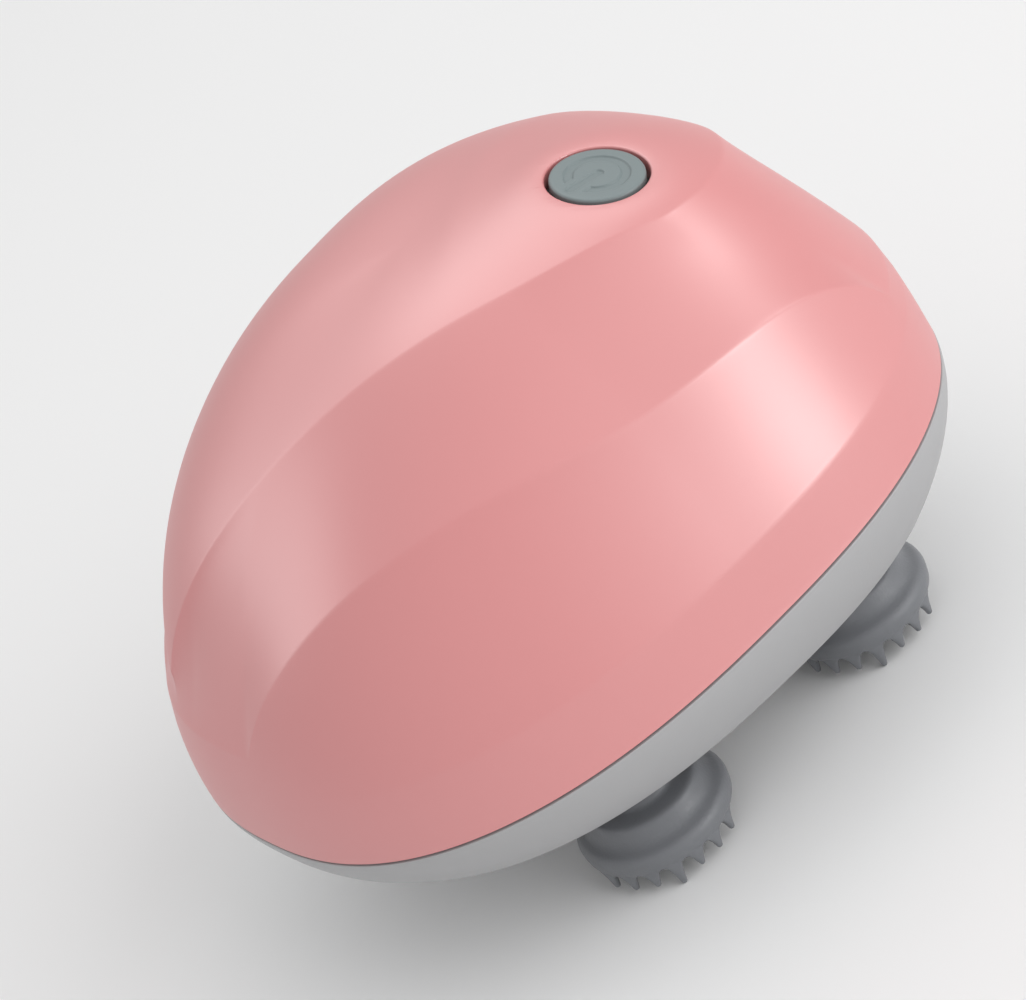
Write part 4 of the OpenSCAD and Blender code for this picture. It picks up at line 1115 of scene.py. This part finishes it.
@dataclass
class PowerButton:
    """The round cap with its sunk power sign."""

    plane: Plane
    turn: float
    radius: float = 6.6
    rise: float = 0.25
    thick: float = 3.25
    round_off: float = 0.45
    crown: float = 0.12
    flange: float = 7.95
    flange_thick: float = 2.0
    stem: float = 2.05
    mark_radius: float = 4.55
    mark_width: float = 1.3
    mark_depth: float = 0.28
    mark_gap: float = 1.74
    mark_bar: tuple[float, float] = (-0.35, 4.9)
    soft: float = 0.14

    def sign(self, flat: np.ndarray) -> np.ndarray:
        """Depth of the sign at points of the cap.

        Args:
            flat: points in the cap's plane.

        Returns:
            0 outside the lines and the full depth inside them, with a smooth step over a small
            width. The lines are a ring with a gap and a bar through the gap, each given by its
            distance: to a circle and to a segment.
        """
        way = math.pi - self.turn
        x = flat[..., 0] * math.cos(way) + flat[..., 1] * math.sin(way)
        y = -flat[..., 0] * math.sin(way) + flat[..., 1] * math.cos(way)
        half = self.mark_width / 2
        middle = self.mark_radius - half
        ring = np.abs(np.hypot(x, y) - middle) - half
        gap = np.maximum(ring, np.where(x > 0, self.mark_gap - np.abs(y), -1.0))
        bar = np.hypot(x - np.clip(x, *self.mark_bar), y) - half
        step = np.clip(0.5 - np.minimum(gap, bar) / (2 * self.soft), 0, 1)
        return self.mark_depth * step * step * (3 - 2 * step)

    def build(self) -> None:
        """Makes the cap: a fine round grid on top, a rounded edge, the side and the flange."""
        skin, unit, axis = Skin(), circle(1.0, 288), np.zeros(2)
        edge, low = self.rise - self.crown, self.rise - self.thick
        radii = np.linspace(0.0, self.radius - self.round_off, 64)[1:]
        flat = radii[:, None, None] * unit
        dome = self.crown * (1 - (radii / self.radius) ** 2)[:, None]
        top = skin.add(self.plane.place(flat, edge + dome - self.sign(flat)))
        skin.fan(top[0], self.plane.place(axis, self.rise - float(self.sign(axis))))
        swing = np.radians(np.linspace(0, 90, 8))[1:]
        profile = [*zip(self.radius - self.round_off * (1 - np.sin(swing)),
                        edge - self.round_off * (1 - np.cos(swing)))]
        foot = low - self.flange_thick
        profile += [(self.radius, low), (self.flange - 0.1, low), (self.flange, low - 0.1),
                    (self.flange, foot), (self.stem, foot), (self.stem, low)]
        rings = [top[-1]] + [skin.add(self.plane.place(r * unit, h)) for r, h in profile]
        skin.strip(top)
        skin.strip(rings)
        skin.fan(rings[-1], self.plane.place(axis, low))
        skin.piece("power_button_cap", "button", "button_grey", "power_button", sharp=50.0)


@dataclass
class MassageHead:
    """A silicone bell with two opposite groups of teeth, over the hard core on its spindle."""

    index: int
    turn: float = math.radians(-121.5)
    teeth: int = 20
    beside: int = 3
    ring: float = 11.1
    web_top: float = 3.95
    web_thick: float = 0.52
    tooth_thick: float = 0.56
    tip: float = 0.46
    gap: float = 0.72
    long: float = 0.03
    short: float = 1.1
    inner: int = 8
    inner_ring: float = 5.32
    columns: int = 160

    def profile(self) -> np.ndarray:
        """Section of the bell.

        Returns:
            Radius and height of each corner: the cavity for the hard core, the neck, the bowl down
            to the skirt's rim, and the inside up to the middle.
        """
        cavity = [[0.0, 7.1], [2.6, 7.1], [2.6, 7.5], [6.7, 7.5], [6.7, 9.3], [3.8, 9.3]]
        neck = [[3.8, 18.6], [4.8, 18.6], [5.0, 18.4], [5.0, 11.4], [5.06, 11.0], [5.25, 10.66],
                [5.6, 10.46], [6.1, 10.4], [7.2, 10.4], [7.8, 10.39], [8.2, 10.32], [8.5, 10.16]]
        bowl = [[8.7, 9.9], [8.84, 9.55], [8.96, 9.15], [9.12, 8.7], [9.34, 8.26], [9.62, 7.88],
                [9.94, 7.58], [10.26, 7.36], [10.58, 7.2], [10.88, 7.06], [11.14, 6.9],
                [11.38, 6.68], [11.58, 6.4], [11.72, 6.06], [11.78, 5.7], [11.77, 5.3],
                [11.72, 4.9], [11.66, 4.5], [11.6, 4.15], [11.5, 3.98], [11.3, 3.92]]
        inside = [[10.7, 3.92], [10.45, 4.0], [10.3, 4.2], [10.1, 4.7], [9.7, 5.4], [9.1, 5.95],
                  [8.3, 6.25], [7.4, 6.37], [4.0, 6.4], [0.0, 6.4]]
        return np.array(cavity + neck + bowl + inside)

    def tooth(self, foot: np.ndarray) -> tuple[np.ndarray, np.ndarray, np.ndarray, np.ndarray]:
        """Rings of every tooth, from its root inside the skirt to its tip.

        Args:
            foot: height of each tooth's tip.

        Returns:
            Height at each tooth and level, and half width, half thickness and squareness at each
            level. Under the web the half width is the half pitch less the half gap, which is a half
            circle at its top; below it tapers to the tip, which closes as a half ball.
        """
        pitch = math.pi / self.teeth * self.ring
        tip, gap, full = self.tip, self.gap, self.tooth_thick
        start = self.web_top - gap
        upper = np.concatenate([[self.web_top + 0.6], start + gap * np.sin(np.radians(
            [90.0, 84.0, 72.0, 56.0, 40.0, 24.0, 10.0, 0.0]))])
        taper = np.linspace(0, 1, 6)[1:]
        swing = np.radians([0.0, 25.0, 45.0, 62.0, 76.0, 86.0])[1:]
        z = np.concatenate([
            np.broadcast_to(upper, (len(foot), len(upper))),
            start + (foot[:, None] + tip - start) * taper,
            foot[:, None] + tip * (1 - np.sin(swing))], axis=1)
        narrow = pitch - gap
        body = 0.5 * (taper + taper ** 0.6)
        half = np.concatenate([
            [pitch], pitch - np.sqrt(np.maximum(0, gap ** 2 - (upper[1:] - start) ** 2)),
            narrow + (tip - narrow) * body, tip * np.cos(swing)])
        thick = np.concatenate([
            np.interp(upper, [start, self.web_top], [full, self.web_thick]),
            full + (tip - full) * body, tip * np.cos(swing)])
        square = np.concatenate([np.interp(upper, [start, self.web_top], [3.2, 8.0]),
                                 3.2 - 1.1 * taper, np.full(len(swing), 2.05)])
        return z, half, thick, square

    def build(self) -> None:
        """Makes the bell, two groups of teeth in its ring and the short teeth inside it."""
        skin = Skin()
        x, y = head_place(self.index)
        skin.turned(self.profile(), level_plane(x, y), self.columns)
        group = np.arange(-self.beside, self.beside + 1)
        number = np.concatenate([group, group + self.teeth // 2])
        foot = np.where(np.tile(group == 0, 2), self.long, self.short)
        z, half, thick, square = self.tooth(foot)
        around = np.arange(20) * math.pi / 10
        power = (2.0 / square)[:, None]
        out = thick[:, None] * signed_power(np.cos(around), power)
        along = half[:, None] * signed_power(np.sin(around), power)
        radius = np.broadcast_to(self.ring + out, (len(number), *out.shape))
        angle = self.turn + number[:, None, None] * 2 * math.pi / self.teeth + along / self.ring
        level = np.broadcast_to(z[..., None], radius.shape)
        rings = np.stack([x + radius * np.cos(angle), y + radius * np.sin(angle), level], axis=-1)
        self.close_teeth(skin, rings)
        self.inner_teeth(skin, x, y)
        node = f"massage_head_{self.index + 1}"
        skin.piece(f"{node}_bell", f"head_{self.index + 1}", "head_silicone", node, sharp=60.0)

    @staticmethod
    def close_teeth(skin: Skin, rings: np.ndarray) -> None:
        """Joins the rings of each tooth and closes both its ends with a point.

        Args:
            skin: the head's skin.
            rings: points as (tooth, ring, point, 3); the end points lie in the middle of the rings.
        """
        numbers = skin.add(rings)
        skin.strip(numbers)
        for row, drop in ((0, 0.0), (-1, -0.03)):
            skin.fan(numbers[:, row], rings[:, row].mean(axis=1) + [0, 0, drop])

    def inner_teeth(self, skin: Skin, x: float, y: float) -> None:
        """Adds the round teeth inside the ring: tapered rods with a flared root and a round tip.

        Args:
            skin: the head's skin.
            x: middle of the head along X.
            y: middle of the head along Y.
        """
        place = self.turn + (np.arange(self.inner) + 0.5) * 2 * math.pi / self.inner
        levels = np.array([6.6, 6.4, 6.1, 5.7, 5.0, 4.0, 3.0, 2.0, 1.56, 1.33, 1.19, 1.12])
        radii = np.array([1.9, 1.55, 1.3, 1.15, 1.0, 0.83, 0.66, 0.52, 0.45, 0.34, 0.2, 0.1])
        flat = radii[:, None, None] * circle(1.0, 16)
        middle = self.inner_ring * ways(place) + [x, y]
        rings = middle[:, None, None, :] + flat[None]
        level = np.broadcast_to(levels[None, :, None, None], (*rings.shape[:-1], 1))
        self.close_teeth(skin, np.concatenate([rings, level], axis=-1))


@dataclass
class ShaftSeal:
    """The lip seal between a head's neck and the underside."""

    index: int

    def build(self) -> None:
        """Turns its section: a flange against the underside and a lip towards the spindle."""
        skin = Skin()
        profile = np.array([
            [5.45, 21.0], [5.6, 20.85], [5.6, 20.2], [5.5, 19.95], [5.25, 19.8], [4.4, 19.72],
            [3.6, 19.62], [2.9, 19.6], [2.62, 19.68], [2.56, 19.85], [2.62, 20.1], [3.0, 20.4],
            [3.1, 21.0]])
        skin.turned(profile, level_plane(*head_place(self.index)), 64)
        node = f"shaft_seal_{self.index + 1}"
        skin.piece(f"{node}_lip", "housing", "seal_black", node, sharp=60.0)


@dataclass
class PortCover:
    """The soft flap over the charging port, with its hinge roll along the lower edge."""

    hinge: tuple[float, float] = (58.8, 41.15)
    half_width: float = 8.0
    top: float = 48.85
    outside: float = 59.5
    roll: float = 0.7

    def build(self) -> None:
        """Makes the flap as rings of a rounded rectangle, and the roll as a turned rod."""
        skin = Skin()
        low = self.hinge[1] - 0.2
        plane = end_plane(self.outside, (low + self.top) / 2)
        half_v, end, roll = (self.top - low) / 2, self.half_width, self.roll
        layers = ((-3.0, -0.02), (-1.6, 0.0), (-0.5, -0.03), (-0.22, -0.08), (-0.06, -0.2),
                  (0.0, -0.4), (0.0, -0.9), (-0.08, -1.1), (-0.3, -1.2), (-1.6, -1.2))
        rings = skin.sleeve(plane, [
            (rounded_rectangle(end + grow, half_v + grow, max(1.0 + grow, 0.3)), level)
            for grow, level in layers])
        for ring, (_, level) in ((rings[0], layers[0]), (rings[-1], layers[-1])):
            skin.fan(ring, plane.place(np.zeros(2), level))
        axis = Plane(np.array([self.hinge[0], 0.0, self.hinge[1]]),
                     *np.array([[1.0, 0, 0], [0, 0, 1.0], [0, -1.0, 0]]))
        skin.turned(np.array([[0, -end], [roll - 0.2, -end], [roll, 0.2 - end], [roll, end - 0.2],
                              [roll - 0.2, end], [0, end]]), axis, 32)
        skin.piece("port_cover_flap", "cover", "cover_silicone", "port_cover", sharp=50.0)


def dress_packed() -> None:
    """Puts the slot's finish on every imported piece."""
    slots = {part["node"]: part["material_slot"] for part in frame["record"]["subparts"]}
    for name, item in frame["nodes"].items():
        finish = FINISHES[slots[name]].material()
        if not item.material_slots:
            item.data.materials.append(finish)
        for place in item.material_slots:
            place.link = "OBJECT"
            place.material = finish
        LOG.info("%s: finish %s", name, finish.name)


class Reach(Enum):
    """What a light adds to: the gloss of the surfaces or their own colour."""

    GLOSS = auto()
    COLOUR = auto()


@dataclass(frozen=True)
class Softbox:
    """A rectangular light in a direction in degrees, at a distance in metres from its aim."""

    name: str
    turn: float
    climb: float
    away: float
    size: tuple[float, float]
    power: float
    reach: Reach = Reach.GLOSS
    aim: tuple[float, float, float] = (0.0, 0.0, 0.05)

    def hang(self) -> None:
        """Puts the light up at the distance times the direction's cosines, facing its aim."""
        lamp = bpy.data.lights.new(self.name, "AREA")
        lamp.shape = "RECTANGLE"
        lamp.size, lamp.size_y = self.size
        lamp.energy = self.power
        item = bpy.data.objects.new(self.name, lamp)
        turn, climb = math.radians(self.turn), math.radians(self.climb)
        out = math.cos(climb)
        way = -self.away * Vector((out * math.cos(turn), out * math.sin(turn), math.sin(climb)))
        item.location = Vector(self.aim) - way
        item.rotation_euler = way.to_track_quat("-Z", "Y").to_euler()
        item.visible_diffuse = self.reach is Reach.COLOUR
        item.visible_glossy = self.reach is Reach.GLOSS
        bpy.context.scene.collection.objects.link(item)


@dataclass
class Studio:
    """Pale floor, soft lights and the camera."""

    rise: float = 0.616
    roll: float = 0.559
    swing: float = -0.418
    anchor: tuple[float, float] = (652.69, 701.53)
    foot: float = 0.00145
    focus: float = 3400.0
    middle: tuple[float, float] = (513.0, 500.0)
    film: float = 36.0
    distance: float = 0.5037
    surround: float = 0.68
    half_floor: float = 6.0
    lights: tuple[Softbox, ...] = (
        Softbox("key light", -61.0, 2.0, 1.0, (0.2, 0.4), 2.9),
        Softbox("side light", -36.0, 25.0, 1.0, (0.16, 0.16), 0.8),
        Softbox("back light", 32.0, 62.0, 1.0, (0.9, 0.9), 3.8),
        Softbox("top light", 85.0, 50.0, 1.0, (0.7, 0.7), 1.2),
        Softbox("left light", 130.0, 34.0, 1.0, (0.6, 0.6), 1.9),
        Softbox("front fill", -58.0, 30.0, 1.3, (1.5, 1.3), 11.5, Reach.COLOUR),
        Softbox("top fill", 60.0, 70.0, 1.3, (1.5, 1.3), 2.0, Reach.COLOUR))

    def camera(self) -> None:
        """Sets the camera from the angles and the pixel that shows the object's foot.

        Right, up and forward follow from the rise and the swing; the roll turns the first
        two about the third; then all three turn by the angle between the middle of the picture and
        the anchor pixel, so that the foot lies at the anchor.
        """
        right = np.array([math.cos(self.swing), math.sin(self.swing), 0.0])
        away = np.array([-math.sin(self.swing), math.cos(self.swing), 0.0])
        top = np.array([0, 0, 1.0])
        forward = math.cos(self.rise) * away - math.sin(self.rise) * top
        up = math.sin(self.rise) * away + math.cos(self.rise) * top
        place = self.foot * top - self.distance * forward
        c, s = math.cos(self.roll), math.sin(self.roll)
        turn = np.array([[c, s, 0], [-s, c, 0], [0, 0, 1.0]])
        aim = np.append(np.subtract(self.anchor, self.middle), self.focus)
        aim /= np.linalg.norm(aim)
        axis = Vector((-aim[1], aim[0], 0.0))
        shift = np.array(Matrix.Rotation(math.asin(axis.length), 3, axis.normalized()))
        rows = shift @ turn @ np.stack([right, -up, forward])
        data = bpy.data.cameras.new("camera")
        data.sensor_fit, data.sensor_width = "HORIZONTAL", self.film
        data.lens = self.focus * self.film / (2 * self.middle[0])
        data.clip_start, data.clip_end = 0.01, 20.0
        item = bpy.data.objects.new("camera", data)
        basis = np.eye(4)
        basis[:3, 0], basis[:3, 1], basis[:3, 2], basis[:3, 3] = rows[0], -rows[1], -rows[2], place
        item.matrix_world = Matrix(basis.tolist())
        bpy.context.scene.collection.objects.link(item)
        bpy.context.scene.camera = item

    def floor(self) -> None:
        """Lays a wide pale floor with a very faint grain."""
        mesh = bpy.data.meshes.new("floor")
        mesh.from_pydata([(x * self.half_floor, y * self.half_floor, 0.0) for x, y in CORNERS], [],
                         [(0, 1, 2, 3)])
        item = bpy.data.objects.new("floor", mesh)
        pale = Finish("pale floor", (241, 241, 241), (240, 240, 240), gloss=(0.8, 0.9), grain=300.0,
                      depth=0.0, broad=3.0, specular=0.1)
        mesh.materials.append(pale.material())
        bpy.context.scene.collection.objects.link(item)

    def air(self) -> None:
        """Sets an even white surround."""
        world = bpy.data.worlds.new("surround")
        world.use_nodes = True
        back = world.node_tree.nodes["Background"]
        back.inputs["Color"].default_value = (1.0, 1.0, 1.0, 1.0)
        back.inputs["Strength"].default_value = self.surround
        bpy.context.scene.world = world
        bpy.context.scene.view_settings.view_transform = "Standard"

    def build(self) -> None:
        """Sets up floor, surround, lights and camera."""
        self.floor()
        self.air()
        for light in self.lights:
            light.hang()
        self.camera()


def main() -> None:
    """Builds the studio and every piece in order."""
    logging.basicConfig(level=logging.INFO, format="%(name)s: %(message)s")
    Studio().build()
    form = Housing()
    dress_packed()
    UpperShell(form).build()
    BaseShell(form).build()
    SeamGasket(form).build()
    PowerButton(form.button, form.button_turn).build()
    for index in range(4):
        MassageHead(index).build()
        ShaftSeal(index).build()
    PortCover().build()


if __name__ == "__main__":
    main()
